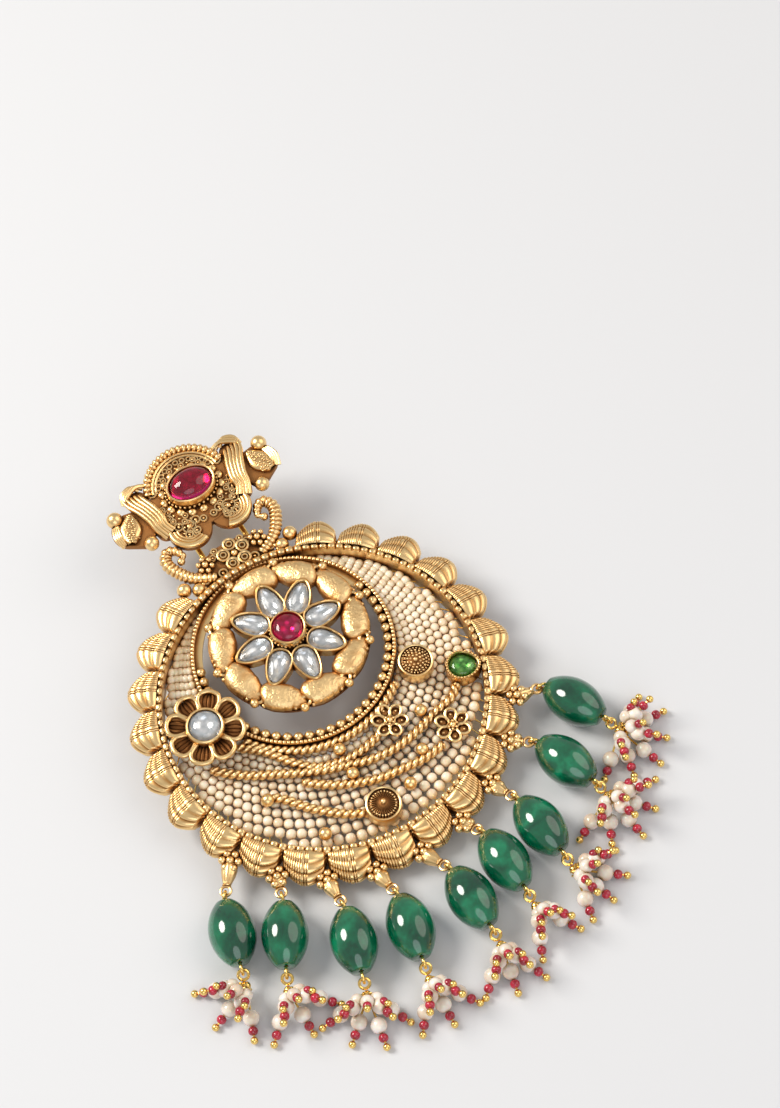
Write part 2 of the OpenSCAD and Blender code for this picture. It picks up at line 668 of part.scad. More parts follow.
// Tassel pins fan out from the head in two layers. Each carries a pearl, a seed bead and a ball.
function low_pins(i) = floor(drop(i)[SPREAD] / 16.5) + 1;
function high_pins(i) = max(2, floor(drop(i)[SPREAD] / 35) + 1);
function pin_count(i) = low_pins(i) + high_pins(i);
function pin_high(i, j) = j >= low_pins(i);
function pin_angle(i, j) = drop(i)[FAN] + (pin_high(i, j)
    ? max(drop(i)[SPREAD] * 0.7, 26) * (2 * (j - low_pins(i)) / (high_pins(i) - 1) - 1)
    : drop(i)[SPREAD] * (2 * j / (low_pins(i) - 1) - 1));
function pin_way(i, j) = let (w = way(pin_angle(i, j)), from = head_at(i),
    rise = pearl_d / 2 - from.z + (pin_high(i, j) ? pearl_d * 0.96 : 0.05),
    out = pin_reach * (pin_high(i, j) ? 0.66 : j % 2 == 0 ? 1 : 0.86))
    [w.x * out, w.y * out, rise];
function pin_tip(i, j) = let (v = pin_way(i, j)) head_at(i) + v + unit(v) * tip_from_pearl;

// Turn of a head's ball that brings its seam between the last pin and the wire.
function clear_turn(i) = (drop(i)[FAN] + drop(i)[SPREAD] + drop(i)[TURN]) * 0.4;

// Half section of a pin, from inside the head to the ball at its end. Pearl at distance d.
function bead_section(d, r) =
    [for (a = [0, 36, 72, 108, 144]) [r * max(sin(a), pin_d / 2 / r), d - r * cos(a)]];
module pin(v) {
    d = norm(v);
    seed = d + pearl_d / 2 + seed_d * 0.45;
    tip = d + tip_from_pearl;
    rotate([0, acos(v.z / d), atan2(v.y, v.x)]) rotate_extrude($fn = 24)
        polygon(concat([[0, head_d * 0.45], [pin_d / 2, head_d * 0.45]], bead_section(d, pearl_d / 2),
                       bead_section(seed, seed_d / 2), bead_section(tip, tip_d / 2),
                       [[0, tip + tip_d / 2]]));
}

module tassel(i) color(PEARL) on_surface() union() {
    translate(head_at(i)) {
        rotate([0, 0, clear_turn(i)]) sphere(d = head_d, $fn = 32);
        for (j = [0:pin_count(i) - 1]) pin(pin_way(i, j));
    }
    rod(head_loop(i) + head_way(i) * loop_r, head_at(i), wire_d / 2, head_d * 0.3);
    translate(head_loop(i)) ring_along(head_way(i), false) wire_ring(loop_r, wire_d, 24, 16);
}

// Stud

module at_stud(z) {
    translate([0, stud_y, stud_z + z]) children();
}

module oval(grow, h, n) {
    linear_extrude(h) scale([oval_l / 2 + grow, oval_w / 2 + grow]) circle(r = 1, $fn = n);
}

module stud_outline() {
    circle(r = 7.4, $fn = 26);
    translate([0, 1.2]) circle(r = 7, $fn = 26);
    for (side = [-1, 1]) {
        translate([side * lobe_r, -6.3]) circle(r = lobe_r, $fn = 18);
        hull() {
            translate([side * (wing_x + 0.6), 3.0]) circle(r = 1.9, $fn = 14);
            translate([side * (wing_x - 1), -4.6]) circle(r = 1.6, $fn = 12);
        }
        hull() {
            translate([side * fan_x, -1.2]) circle(r = 3.2, $fn = 14);
            translate([side * (fan_x - 1.8), -4.4]) circle(r = 1.4, $fn = 10);
            translate([side * (wing_x), 0]) circle(r = 1.2, $fn = 8);
        }
    }
}

// One raised ridge along points given from the stud's middle.
module ridge(points, r1, r2) {
    path = [for (p = through(points, 2)) [p.x, p.y, stud_plate_h]];
    n = len(path);
    bar(path, [for (i = [0:n - 1]) r1 + (r2 - r1) * i / (n - 1)], 5);
}

module stud_plate() color(GOLD) lay_down() at_stud(0) difference() {
    union() {
        linear_extrude(stud_plate_h) stud_outline();
        translate([0, 0, stud_plate_h - SKIN]) oval(stone_gap + bezel_wall + 0.25, oval_up + SKIN, 24);
        // Milled arch over the ruby, and the smaller one inside it
        for (q = [[arch_r, arch_d / 2], [arch_r - 1.4, arch_d / 3]])
            translate([0, arch_y, stud_plate_h]) rotate([0, 0, 14])
                rotate_extrude(angle = 152, $fn = 22) translate([q[0], 0]) circle(r = q[1], $fn = 6);
        for (side = [-1, 1]) {
            // Lobes under the ruby
            for (q = [[lobe_r - 0.5, 0.6], [lobe_r - 1.5, 0.45]])
                translate([side * lobe_r, -6.3, stud_plate_h]) rotate([0, 0, side > 0 ? -115 : 175])
                    rotate_extrude(angle = 120, $fn = 18) translate([q[0], 0]) circle(r = q[1], $fn = 5);
            // Curved leaves of the wings
            for (k = [0:2])
                ridge([[side * (wing_x + 2.8 - k * 1.5), 4.3 - k * 0.3],
                       [side * (wing_x + 1.7 - k * 1.2), 0.6],
                       [side * (wing_x + 0.2 - k * 0.8), -3.2],
                       [side * (wing_x - 0.4 - k * 0.7), k * 0.2 - 6]],
                      0.62, 0.5);
            translate([side * (fan_x + 1.4), 1.7, stud_plate_h]) hull() sphere(d = 2.9, $fn = 8);
            translate([side * (wing_x + 2.3), -5.6, stud_plate_h]) hull() sphere(d = 2.6, $fn = 7);
            translate([side * (fan_x + 0.4), -2.0, stud_plate_h - SKIN]) hull() {
                cylinder(r1 = 2.3, r2 = 1.6, h = 0.9, $fn = 10);
                translate([side * -1.4, 2.2, 0]) cylinder(r = 0.9, h = 0.6, $fn = 8);
            }
            translate([side * (fan_x + 2.4), -2.6, stud_plate_h - SKIN]) hull() {
                cylinder(r = 0.6, h = 1.4, $fn = 8);
                translate([side * -0.4, 3.0, 0]) cylinder(r = 0.7, h = 1.2, $fn = 8);
            }
        }
        // Rounded petals round the bezel
        for (k = [0:15])
            translate([(oval_l / 2 + 1.5) * cos(22.5 * k), (oval_w / 2 + 1.5) * sin(22.5 * k),
                       stud_plate_h - SKIN])
                hull() sphere(r = 0.85, $fn = 5);
    }
    translate([0, 0, stud_plate_h + oval_up - oval_seat]) oval(stone_gap, oval_up + 2, 24);
    // Openings in the filigree beside the ruby
    for (side = [-1, 1]) translate([side * 7.1, 0.9, -1]) cylinder(d = 1.5, h = stud_plate_h + 3, $fn = 8);
}

oval_seat = 1.1;
module stud_ruby() color(RUBY) lay_down() at_stud(stud_plate_h + oval_up - oval_seat + 0.08) {
    // Cabochon on the oval outline
    n = 20;
    loft([for (f = [0, 12, 30, 48, 66, 82])
        [for (k = [0:n - 1]) [oval_l / 2 * cos(360 * k / n) * cos(f), oval_w / 2 * sin(360 * k / n) * cos(f),
                              0.45 * (f > 0 ? 1 : 0) + 2.1 * sin(f)]]]);
}

base_d = 3.2;
base_h = 0.5;
module ear_post() color(BRIGHT_GOLD) lay_down() at_stud(-SKIN / 2) mirror([0, 0, 1]) {
    cylinder(d = base_d, h = base_h, $fn = 40);
    cylinder(d = post_d, h = post_l - SKIN / 2, $fn = 32);
}

module bail_wire() color(BRIGHT_GOLD) lay_down() translate([0, hinge_y, hinge_z]) {
    bend = 0.75;
    straight = bail_x - bend;
    blob_z = stud_z - hinge_z - SKIN;
    rotate([0, 90, 0]) cylinder(d = bail_d, h = 2 * straight, center = true, $fn = 32);
    for (side = [-1, 1]) {
        translate([side * straight, bend, 0]) rotate([0, 0, side > 0 ? -90 : 180])
            rotate_extrude(angle = 90, $fn = 48) translate([bend, 0]) circle(d = bail_d, $fn = 32);
        translate([side * bail_x, bend, 0]) rotate([-90, 0, 0])
            cylinder(d = bail_d, h = bail_arm - bend, $fn = 32);
        translate([side * bail_x, bail_arm, -bail_d / 2 - 0.1])
            cylinder(d1 = 1.7, d2 = 2.3, h = blob_z + bail_d / 2 + 0.1, $fn = 32);
    }
}

nut_z = stud_z - nut_at;
module push_nut() color(BRIGHT_GOLD) lay_down() translate([0, stud_y, nut_z]) rotate_extrude($fn = 64) {
    hole = post_d / 2 + nut_fit;
    polygon([[hole, 0], [nut_pad_d / 2, 0], [nut_pad_d / 2, -nut_pad_h],
             [nut_barrel_d / 2, -nut_pad_h - 0.4],
             [nut_barrel_d / 2, -nut_pad_h - nut_barrel_l * 0.6],
             [nut_barrel_d * 0.34, -nut_pad_h - nut_barrel_l], [hole, -nut_pad_h - nut_barrel_l]]);
}

crescent_frame();
hinge_tube();
pearl_field();
ornament_spray();
flower_stone();
green_stone();
medallion_setting();
medallion_ruby();
for (i = [1:8]) pear_stone(i);
for (i = [1:9]) green_bead(i - 1);
bead_wires();
for (i = [1:9]) tassel(i - 1);
stud_plate();
stud_ruby();
ear_post();
bail_wire();
push_nut();
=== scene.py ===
# %% [markdown]
# # A chandbali earring, laid face up
# The earring is a crescent frame filled with seed pearls, with a flower medallion in its
# opening, a stud hinged above it and nine green bead drops with pearl tassels below.
# First the fixed frame is loaded. Everything made here sits in that frame, in metres.

# %% Load the frame
import bmesh
import bpy
import json
import math
import random
import numpy as np
from mathutils import Matrix, Vector

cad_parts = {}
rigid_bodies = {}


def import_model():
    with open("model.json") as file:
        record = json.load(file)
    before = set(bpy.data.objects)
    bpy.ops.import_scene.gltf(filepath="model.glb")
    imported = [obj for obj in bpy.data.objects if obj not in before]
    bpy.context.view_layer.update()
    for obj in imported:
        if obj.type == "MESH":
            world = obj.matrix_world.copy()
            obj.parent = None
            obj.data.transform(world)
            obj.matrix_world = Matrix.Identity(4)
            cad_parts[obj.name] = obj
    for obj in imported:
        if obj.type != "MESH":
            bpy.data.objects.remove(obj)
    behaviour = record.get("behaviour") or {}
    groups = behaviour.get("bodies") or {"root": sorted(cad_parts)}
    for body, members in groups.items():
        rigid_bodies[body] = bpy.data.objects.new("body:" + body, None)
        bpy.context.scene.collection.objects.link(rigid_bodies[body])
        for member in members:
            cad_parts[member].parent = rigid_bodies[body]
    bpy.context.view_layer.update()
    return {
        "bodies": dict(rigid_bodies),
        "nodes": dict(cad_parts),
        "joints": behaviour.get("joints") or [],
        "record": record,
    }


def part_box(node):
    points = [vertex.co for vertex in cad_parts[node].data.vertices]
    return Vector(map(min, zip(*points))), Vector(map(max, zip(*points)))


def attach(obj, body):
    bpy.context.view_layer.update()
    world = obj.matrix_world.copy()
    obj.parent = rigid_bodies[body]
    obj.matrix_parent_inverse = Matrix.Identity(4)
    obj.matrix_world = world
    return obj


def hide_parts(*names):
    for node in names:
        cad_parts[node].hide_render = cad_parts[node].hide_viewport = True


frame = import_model()
MM = 0.001

# %% [markdown]
# ## How the earring lies
# The crescent and the stud are easiest to draw flat, in millimetres from the middle of the ring.
# On the table the post props up the stud, so the whole rests with a slope of about six degrees.
# `lie_down` turns flat points into scene points. The bead drops lie level, so `set_down` only
# shifts them. Both use arrays, because thousands of points are moved at once.

# %% Flat points to scene points
SLOPE = math.radians(6.26681)
HINGE_DRAWN = (33.4, 1.1)  # the hinge tube's height along the earring, and over the ring's back
hinge_low, hinge_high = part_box("hinge_tube")
hinge = [(a + b) / 2 / MM for a, b in zip(hinge_low, hinge_high)]
MIDDLE = (-hinge[0],
          HINGE_DRAWN[0] * math.cos(SLOPE) - HINGE_DRAWN[1] * math.sin(SLOPE) - hinge[1])
LIFT = hinge[2] - HINGE_DRAWN[0] * math.sin(SLOPE) - HINGE_DRAWN[1] * math.cos(SLOPE)


def lie_down(points):
    x, y, z = np.asarray(points, float).reshape(-1, 3).T
    return np.stack([x - MIDDLE[0], y * math.cos(SLOPE) - z * math.sin(SLOPE) - MIDDLE[1],
                     y * math.sin(SLOPE) + z * math.cos(SLOPE) + LIFT], 1)


def set_down(points):
    return np.asarray(points, float).reshape(-1, 3) - [MIDDLE[0], MIDDLE[1], 0]


print("middle of the whole", [round(v, 3) for v in MIDDLE], "lift", round(LIFT, 3))

# %% [markdown]
# ## Camera, floor and light
# The photograph looks down on the earring from beyond its drops, turned by almost thirty
# degrees. A camera's matrix has its right, up and backward directions as columns. They come
# from the measured view and are sloped with the earring. The floor is a plain pale plane, and
# three large soft lamps give the even light of a product photograph.

# %% Camera
VIEW_RIGHT = np.array([0.87585, -0.48096, -0.03950])
VIEW_DOWN = np.array([-0.44710, -0.77792, -0.44152])
VIEW_AHEAD = np.array([0.18163, 0.40437, -0.89638])
CAMERA_AT = [-55.6, -141.7, 360.8]
TURN = math.radians(2.2)


def drawn_way(v):
    x, y, z = v
    flat = [x * math.cos(TURN) + y * math.sin(TURN), y * math.cos(TURN) - x * math.sin(TURN), z]
    return Vector(lie_down([flat])[0] - lie_down([[0, 0, 0]])[0])


camera_data = bpy.data.cameras.new("photo_camera")
camera_data.lens = 75.7
camera_data.sensor_width = 36
camera_data.clip_start = 0.01
camera = bpy.data.objects.new("photo_camera", camera_data)
bpy.context.scene.collection.objects.link(camera)
right, up, back = drawn_way(VIEW_RIGHT), -drawn_way(VIEW_DOWN), -drawn_way(VIEW_AHEAD)
turned = Matrix((right, up, back)).transposed().to_4x4()
camera.matrix_world = Matrix.Translation(Vector(lie_down([CAMERA_AT])[0]) * MM) @ turned
bpy.context.scene.camera = camera
print("camera stands", round(camera.location.z * 1000), "mm over the floor")


# %% Colours and nodes
def linear(hex_colour):
    """A colour written as sRGB hex, as the linear values that Blender's shaders use."""
    parts = [int(hex_colour[i:i + 2], 16) / 255 for i in (1, 3, 5)]
    return [p / 12.92 if p <= 0.04045 else ((p + 0.055) / 1.055) ** 2.4 for p in parts] + [1]


def add_node(tree, kind, settings=(), **links):
    """Adds one node. Settings are its properties and sockets, links are other nodes' outputs.
    A link is named for its socket, or _0, _1 for the first or second one."""
    node = tree.nodes.new("ShaderNode" + kind)
    for name, value in dict(settings).items():
        if hasattr(node, name) and name not in node.inputs:
            setattr(node, name, value)
        else:
            node.inputs[name].default_value = value
    for name, source in links.items():
        socket = int(name[1:]) if name[0] == "_" else name.replace("_", " ")
        tree.links.new(source, node.inputs[socket])
    return node


def new_material(name):
    made = bpy.data.materials.new(name)
    made.use_nodes = True
    made.node_tree.nodes.clear()
    return made, made.node_tree


def ramp(tree, source, stops):
    """A colour ramp: stops are (place, sRGB hex)."""
    node = add_node(tree, "ValToRGB", Fac=source)
    band = node.color_ramp
    while len(band.elements) < len(stops):
        band.elements.new(0.5)
    for element, (place, colour) in zip(band.elements, stops):
        element.position = place
        element.color = linear(colour)
    return node.outputs[0]


def finish_with(tree, shader):
    add_node(tree, "OutputMaterial", Surface=shader.outputs[0])


# %% Floor and lamps
paper, tree = new_material("pale_paper")
grain = add_node(tree, "TexNoise", {"Scale": 900, "Detail": 2})
paper_bump = add_node(tree, "Bump", {"Strength": 0.04, "Distance": 0.0001}, Height=grain.outputs[0])
finish_with(tree, add_node(tree, "BsdfPrincipled", {
    "Base Color": linear("#cfd1d4"), "Roughness": 0.75, "Specular IOR Level": 0.2},
    Normal=paper_bump.outputs[0]))

floor_mesh = bpy.data.meshes.new("floor")
floor_mesh.from_pydata([(-3, -3, 0), (3, -3, 0), (3, 3, 0), (-3, 3, 0)], [], [(0, 1, 2, 3)])
floor_mesh.materials.append(paper)
floor = bpy.data.objects.new("floor", floor_mesh)
bpy.context.scene.collection.objects.link(floor)


def soft_lamp(name, place, size, power, colour):
    data = bpy.data.lights.new(name, "AREA")
    data.shape = "DISK"
    data.size = size
    data.energy = power
    data.color = linear(colour)[:3]
    lamp = bpy.data.objects.new(name, data)
    lamp.location = place
    lamp.rotation_euler = (Vector((0, 0, 0)) - Vector(place)).to_track_quat("-Z", "Y").to_euler()
    bpy.context.scene.collection.objects.link(lamp)


soft_lamp("window_lamp", (-0.42, 0.42, 0.62), 0.42, 6.6, "#fffaf2")
soft_lamp("fill_lamp", (0.60, -0.20, 0.60), 0.80, 2.4, "#fff4ea")
soft_lamp("front_lamp", (-0.25, -0.75, 0.55), 0.70, 2.0, "#f6f8ff")
world = bpy.data.worlds.new("studio")
world.use_nodes = True
world.node_tree.nodes["Background"].inputs[0].default_value = linear("#f3f2f2")
world.node_tree.nodes["Background"].inputs[1].default_value = 0.56
bpy.context.scene.world = world
# colours are shown as they are, without a film curve
bpy.context.scene.view_settings.view_transform = "Standard"
print("three lamps and a pale sky")

# %% [markdown]
# ## The gold
# The earring is cast in brass and plated with gold. The plating is matt, and a dark lacquer is
# left in the hollows so that the relief reads: jewellers call it antique finish. The ambient
# occlusion node measures how closed-in a point is within a few tenths of a millimetre, which is
# where lacquer stays when the piece is wiped. A metal needs no more than its colour, a
# roughness and the shape of its bumps, so the IOR stays as it is.


# %% Gold finishes
def gold(name, high, middle, deep, rough, reach_mm, grit_mm, grit, patina=0.62):
    made, tree = new_material(name)
    place = add_node(tree, "TexCoord")
    closed_in = add_node(tree, "AmbientOcclusion", {"samples": 4, "Distance": reach_mm * MM})
    # worn and darker patches of about 3 mm, and casting grit
    patches = add_node(tree, "TexNoise", {"Scale": 1 / (3 * MM), "Detail": 3},
                       Vector=place.outputs["Object"])
    spread = add_node(tree, "MapRange", {"From Min": 0.3, "From Max": 0.7, "To Min": 0.82,
                                         "To Max": 1.06}, Value=patches.outputs[0])
    # polishing reaches the ridges and leaves the lacquer in the grooves
    relief = add_node(tree, "NewGeometry")
    rubbed = add_node(tree, "MapRange", {"From Min": 0.40, "From Max": 0.53, "To Min": 0.25,
                                         "To Max": 1.1}, Value=relief.outputs["Pointiness"])
    open_part = add_node(tree, "Math", {"operation": "MULTIPLY"}, _0=closed_in.outputs["AO"],
                         _1=spread.outputs[0])
    seen = add_node(tree, "Math", {"operation": "MULTIPLY"}, _0=open_part.outputs[0],
                    _1=rubbed.outputs[0])
    colour = ramp(tree, seen.outputs[0], [(0.12, deep), (patina, middle), (0.93, high)])
    grains = add_node(tree, "TexNoise", {"Scale": 1 / (grit_mm * MM), "Detail": 2,
                                         "Roughness": 0.6}, Vector=place.outputs["Object"])
    bump = add_node(tree, "Bump", {"Strength": grit, "Distance": 0.06 * MM},
                    Height=grains.outputs[0])
    dull = add_node(tree, "MapRange", {"From Min": 0.2, "From Max": 0.9, "To Min": rough + 0.22,
                                       "To Max": rough}, Value=seen.outputs[0])
    finish_with(tree, add_node(tree, "BsdfPrincipled", {"Metallic": 1.0}, Base_Color=colour,
                               Roughness=dull.outputs[0], Normal=bump.outputs[0]))
    return made


# matt antique plate: pale peach-gold on the heights, brown lacquer in the hollows
antique_gold = gold("antique_gold_plate", "#fbd799", "#cb9557", "#351e10", 0.28, 0.9, 0.22, 0.4,
                    0.66)
# the medallion's leaves are satin: the casting skin is fine grit all over, hardly darkened
satin_gold = gold("satin_gold_plate", "#fad69a", "#c99254", "#3a2110", 0.34, 2.0, 0.42, 2.2,
                  0.72)
# the ground behind filigree holds most lacquer
hollow_gold = gold("lacquered_gold_ground", "#a87443", "#6b4526", "#20120a", 0.46, 0.8, 0.2,
                   0.6, 0.7)
# polished wire, pins and balls: yellower and brighter, with no lacquer
bright_gold = gold("polished_gold_wire", "#f7d27c", "#e8b957", "#8a5a20", 0.16, 0.3, 0.6, 0.08, 0.3)
print("four golds")

# %% [markdown]
# ## Shapes from arrays
# Jewellery is the same small form many times over: beads, granules, ribs. A `Heap` gathers the
# points and faces of many such forms into one mesh, which is far quicker than one object each.
# `sheet` joins a grid of points, `balls` copies one bead to many places, `sweep` draws a wire
# along a path, and `turned` spins a profile as on a lathe.


# %% Heap of shapes
def unit_ball(rows, sides):
    """Points and faces of a bead of radius 1, its poles along z."""
    points = [(0, 0, 1)]
    for i in range(1, rows):
        a = math.pi * i / rows
        turns = [2 * math.pi * k / sides for k in range(sides)]
        points += [(math.sin(a) * math.cos(t), math.sin(a) * math.sin(t), math.cos(a)) for t in turns]
    points.append((0, 0, -1))
    last = len(points) - 1
    faces = [(0, 1 + k, 1 + (k + 1) % sides) for k in range(sides)]
    for i in range(rows - 2):
        a, b = 1 + i * sides, 1 + (i + 1) * sides
        faces += [(a + k, b + k, b + (k + 1) % sides, a + (k + 1) % sides) for k in range(sides)]
    a = 1 + (rows - 2) * sides
    faces += [(last, a + (k + 1) % sides, a + k) for k in range(sides)]
    return np.array(points), faces


class Heap:
    def __init__(self):
        self.points, self.faces, self.finishes, self.count = [], [], [], 0

    def add(self, points, faces, finish=0):
        points = np.asarray(points, float).reshape(-1, 3)
        self.points.append(points)
        self.faces += [tuple(i + self.count for i in f) for f in faces]
        self.finishes += [finish] * len(faces)
        self.count += len(points)

    def sheet(self, grid, wrap_u=False, wrap_v=False, finish=0, caps=False):
        grid = np.asarray(grid, float)
        m, n = grid.shape[:2]
        faces = []
        for i in range(m if wrap_u else m - 1):
            here, there = i * n, (i + 1) % m * n
            for j in range(n if wrap_v else n - 1):
                k = (j + 1) % n
                faces.append((here + j, here + k, there + k, there + j))
        if caps:
            faces += [tuple(range(n - 1, -1, -1)), tuple((m - 1) * n + j for j in range(n))]
        self.add(grid, faces, finish)

    def balls(self, places, radii, rows=7, sides=12, finish=0, squash=1.0):
        base, faces = unit_ball(rows, sides)
        base = base * [1, 1, squash]
        radii = np.broadcast_to(radii, len(places))
        for place, radius in zip(places, radii):
            self.add(base * radius + place, faces, finish)

    def sweep(self, path, section, closed=False, finish=0, up=(0, 0, 1)):
        """section is one outline, or one per path point, as (side, up) pairs."""
        path = np.asarray(path, float)
        section = np.asarray(section, float)
        if section.ndim == 2:
            section = np.broadcast_to(section, (len(path),) + section.shape)
        if closed:
            ahead = np.roll(path, -1, 0) - np.roll(path, 1, 0)
        else:
            ahead = np.gradient(path, axis=0)
        ahead /= np.linalg.norm(ahead, axis=1)[:, None]
        side = np.cross(ahead, up)
        side /= np.linalg.norm(side, axis=1)[:, None]
        top = np.cross(side, ahead)
        grid = path[:, None] + section[..., :1] * side[:, None] + section[..., 1:] * top[:, None]
        self.sheet(grid, wrap_u=closed, wrap_v=True, finish=finish, caps=not closed)

    def wire(self, path, radius, sides=8, closed=False, finish=0, up=(0, 0, 1)):
        radii = np.broadcast_to(radius, len(path))
        turn = np.arange(sides) * 2 * math.pi / sides
        outline = np.stack([np.cos(turn), np.sin(turn)], 1)
        self.sweep(path, outline[None] * radii[:, None, None], closed, finish, up)

    def turned(self, profile, sides, place=(0, 0, 0), ripple=None, finish=0, frame=None):
        """profile is (radius, height) from one end to the other. ripple(turn, step) adds to it."""
        rings = []
        for step, (r, z) in enumerate(profile):
            turn = np.arange(sides) * 2 * math.pi / sides
            dr, dz = ripple(turn, step) if ripple else (0, 0)
            rings.append(np.stack([(r + dr) * np.cos(turn), (r + dr) * np.sin(turn),
                                   z + dz + 0 * turn], 1))
        grid = np.array(rings)
        if frame is not None:
            grid = grid @ np.asarray(frame, float)
        self.sheet(grid + place, wrap_v=True, finish=finish, caps=True)

    def ring(self, place, radius, thickness, sides=24, round_sides=8, finish=0, axis=(0, 0, 1)):
        x, y, z = frame_along(axis)
        turn = np.arange(sides) * 2 * math.pi / sides
        path = place + radius * (np.cos(turn)[:, None] * x + np.sin(turn)[:, None] * y)
        self.wire(path, thickness, round_sides, True, finish, z)


def frame_along(way):
    """Three unit vectors, the last along way."""
    z = np.asarray(way, float) / np.linalg.norm(way)
    x = np.cross([0, 0, 1] if abs(z[2]) < 0.9 else [0, 1, 0], z)
    x /= np.linalg.norm(x)
    return np.array([x, np.cross(z, x), z])


def smooth_path(points, steps):
    """The curve through points, with so many steps between two of them."""
    p = np.asarray(points, float)
    out = []
    for i in range(len(p) - 1):
        a, b, c, d = p[max(i - 1, 0)], p[i], p[i + 1], p[min(i + 2, len(p) - 1)]
        for k in range(steps):
            t = k / steps
            out.append(0.5 * (2 * b + (c - a) * t + (2 * a - 5 * b + 4 * c - d) * t * t
                              + (3 * b - a - 3 * c + d) * t ** 3))
    return np.array(out + [p[-1]])


def travelled(path):
    """How far along the path each of its points is."""
    steps = np.linalg.norm(np.diff(np.asarray(path, float), axis=0), axis=1)
    return np.concatenate([[0], np.cumsum(steps)])


def polar(r, degrees):
    """A flat point at radius r, at an angle from straight down the earring towards +x."""
    a = np.radians(degrees)
    return np.stack([r * np.sin(a), -r * np.cos(a)], -1)


def make_piece(heap, name, body, replaced, finishes, place=lie_down, sharp=42, smooth=True):
    """Turns a heap into an object that rides on a body and stands for CAD nodes."""
    mesh = bpy.data.meshes.new(name)
    mesh.from_pydata((place(np.concatenate(heap.points)) * MM).tolist(), [], heap.faces)
    for finish in finishes:
        mesh.materials.append(finish)
    mesh.polygons.foreach_set("material_index", heap.finishes)
    mesh.polygons.foreach_set("use_smooth", [smooth] * len(mesh.polygons))
    # all faces look outwards, whichever way their outline was drawn
    drawn = bmesh.new()
    drawn.from_mesh(mesh)
    bmesh.ops.recalc_face_normals(drawn, faces=drawn.faces)
    drawn.to_mesh(mesh)
    drawn.free()
    mesh.update()
    mesh.set_sharp_from_angle(angle=math.radians(sharp))
    made = bpy.data.objects.new(name, mesh)
    bpy.context.scene.collection.objects.link(made)
    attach(made, body)
    if replaced:
        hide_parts(*replaced)
    print(name, sum(len(f) - 2 for f in heap.faces), "triangles")
    return made


# %% [markdown]
# ## The ring wall
# A strip of brass 1.2 mm thick and 5 mm deep, bent to a circle of 56 mm. Its top edge is milled:
# a small wheel pressed square teeth into it, one each 1.45 mm. The teeth are made by lowering
# the edge's points between them, so the notches catch real shadow.

# %% Ring wall
RING_R = 28.0
RING_WALL = 1.2
RING_H = 5.0
TOOTH = 1.45
teeth = round(2 * math.pi * (RING_R - 0.6) / TOOTH)
notch = np.array([1, 0.45, 0.08, 0, 0, 0, 0.08, 0.45])
ring_wall = Heap()
inside = RING_R - RING_WALL
# the wall's section: radius, height, and how deep the notches cut there
edge = [(RING_R, 0.0, 0), (RING_R, 4.1, 0), (RING_R, 4.5, 0.6), (27.8, 4.8, 0.9), (27.45, 4.95, 0.9),
        (27.1, 5.0, 1), (26.88, 4.93, 1), (inside, 4.72, 1.0), (inside + 0.02, 4.25, 0.25),
        (inside + 0.05, 3.9, 0), (inside, 0.0, 0)]
turn = np.arange(teeth * 8) * 360 / (teeth * 8)
depth = np.tile(notch, teeth)
grid = []
for r, z, share in edge:
    cut = depth * share * 0.42
    radius = r + (cut * 0.5 if r < 27.2 and share > 0 else 0)
    grid.append(np.concatenate([polar(radius + 0 * turn, turn), (z - cut)[:, None]], 1))
ring_wall.sheet(np.array(grid), wrap_u=True, wrap_v=True)
make_piece(ring_wall, "milled_ring_wall", "chand", ["crescent_frame"],
           [antique_gold])

# %% [markdown]
# ## The shells
# Twenty-two stamped shells stand round the ring, like scallops laid end to end. Each has ribs
# along it that gather at its narrow end. The half towards the crown is crossed by fine lines,
# two deeper lines lie across its middle, and the other half is smooth. All of that is drawn as
# depth on one curved sheet: a height that depends on how far along and how far round a point is.

# %% Shells
SHELL_PITCH = (360 - 41) / 22
SHELL_OUT = 4.9
SHELL_H = 5.5
RIBS = 7
shells = Heap()
along = np.linspace(0, 1, 80)[:, None]
around = np.linspace(0, 1, 54)[None]
swell = 0.30 + 0.70 * np.sin(np.pi * np.clip(0.05 + 0.88 * along ** 1.12, 0, 1)) ** 0.85
swell = swell * np.clip(along / 0.05, 0.4, 1) ** 0.5 * np.clip((1 - along) / 0.06, 0.25, 1) ** 0.5
valley = 1 - np.abs(np.sin(np.pi * (RIBS * around))) ** 0.55
line_pitch = 0.055
crossed = np.clip((0.50 - along) / 0.06, 0, 1)
lines = (0.5 + 0.5 * np.cos(2 * np.pi * along / line_pitch)) ** 2 * crossed
girdle = np.exp(-((along - 0.535) / 0.011) ** 2) + 0.8 * np.exp(-((along - 0.585) / 0.010) ** 2)
deep = 0.62 * valley * (0.5 + 0.5 * np.clip(along * 1.3, 0, 1)) + 0.20 * lines + 0.24 * girdle
tilt_round = np.radians(-90 + 180 * around)
for k in range(-11, 11):
    side = 1 if k >= 0 else -1
    angle = (k + 0.5) * SHELL_PITCH + side * SHELL_PITCH * 0.49 * (1 - 2 * along) + 0 * around
    out = (SHELL_OUT * swell - deep) * np.cos(tilt_round) - 0.3 * (1 - np.cos(tilt_round))
    height = SHELL_H / 2 + (SHELL_H / 2 * (0.55 + 0.45 * swell) - deep * 0.6) * np.sin(tilt_round)
    flat = polar(RING_R + out, angle)
    shells.sheet(np.concatenate([flat, height[..., None]], -1), caps=False)
make_piece(shells, "ribbed_shells", "chand", ["crescent_frame"], [antique_gold],
           sharp=60)

# %% [markdown]
# ## The inner ring
# A thinner strip holds the medallion. Inside it lies a row of gold balls of 1.7 mm on a shelf,
# soldered side by side, with lacquer between them. Its own edge has small milled marks.

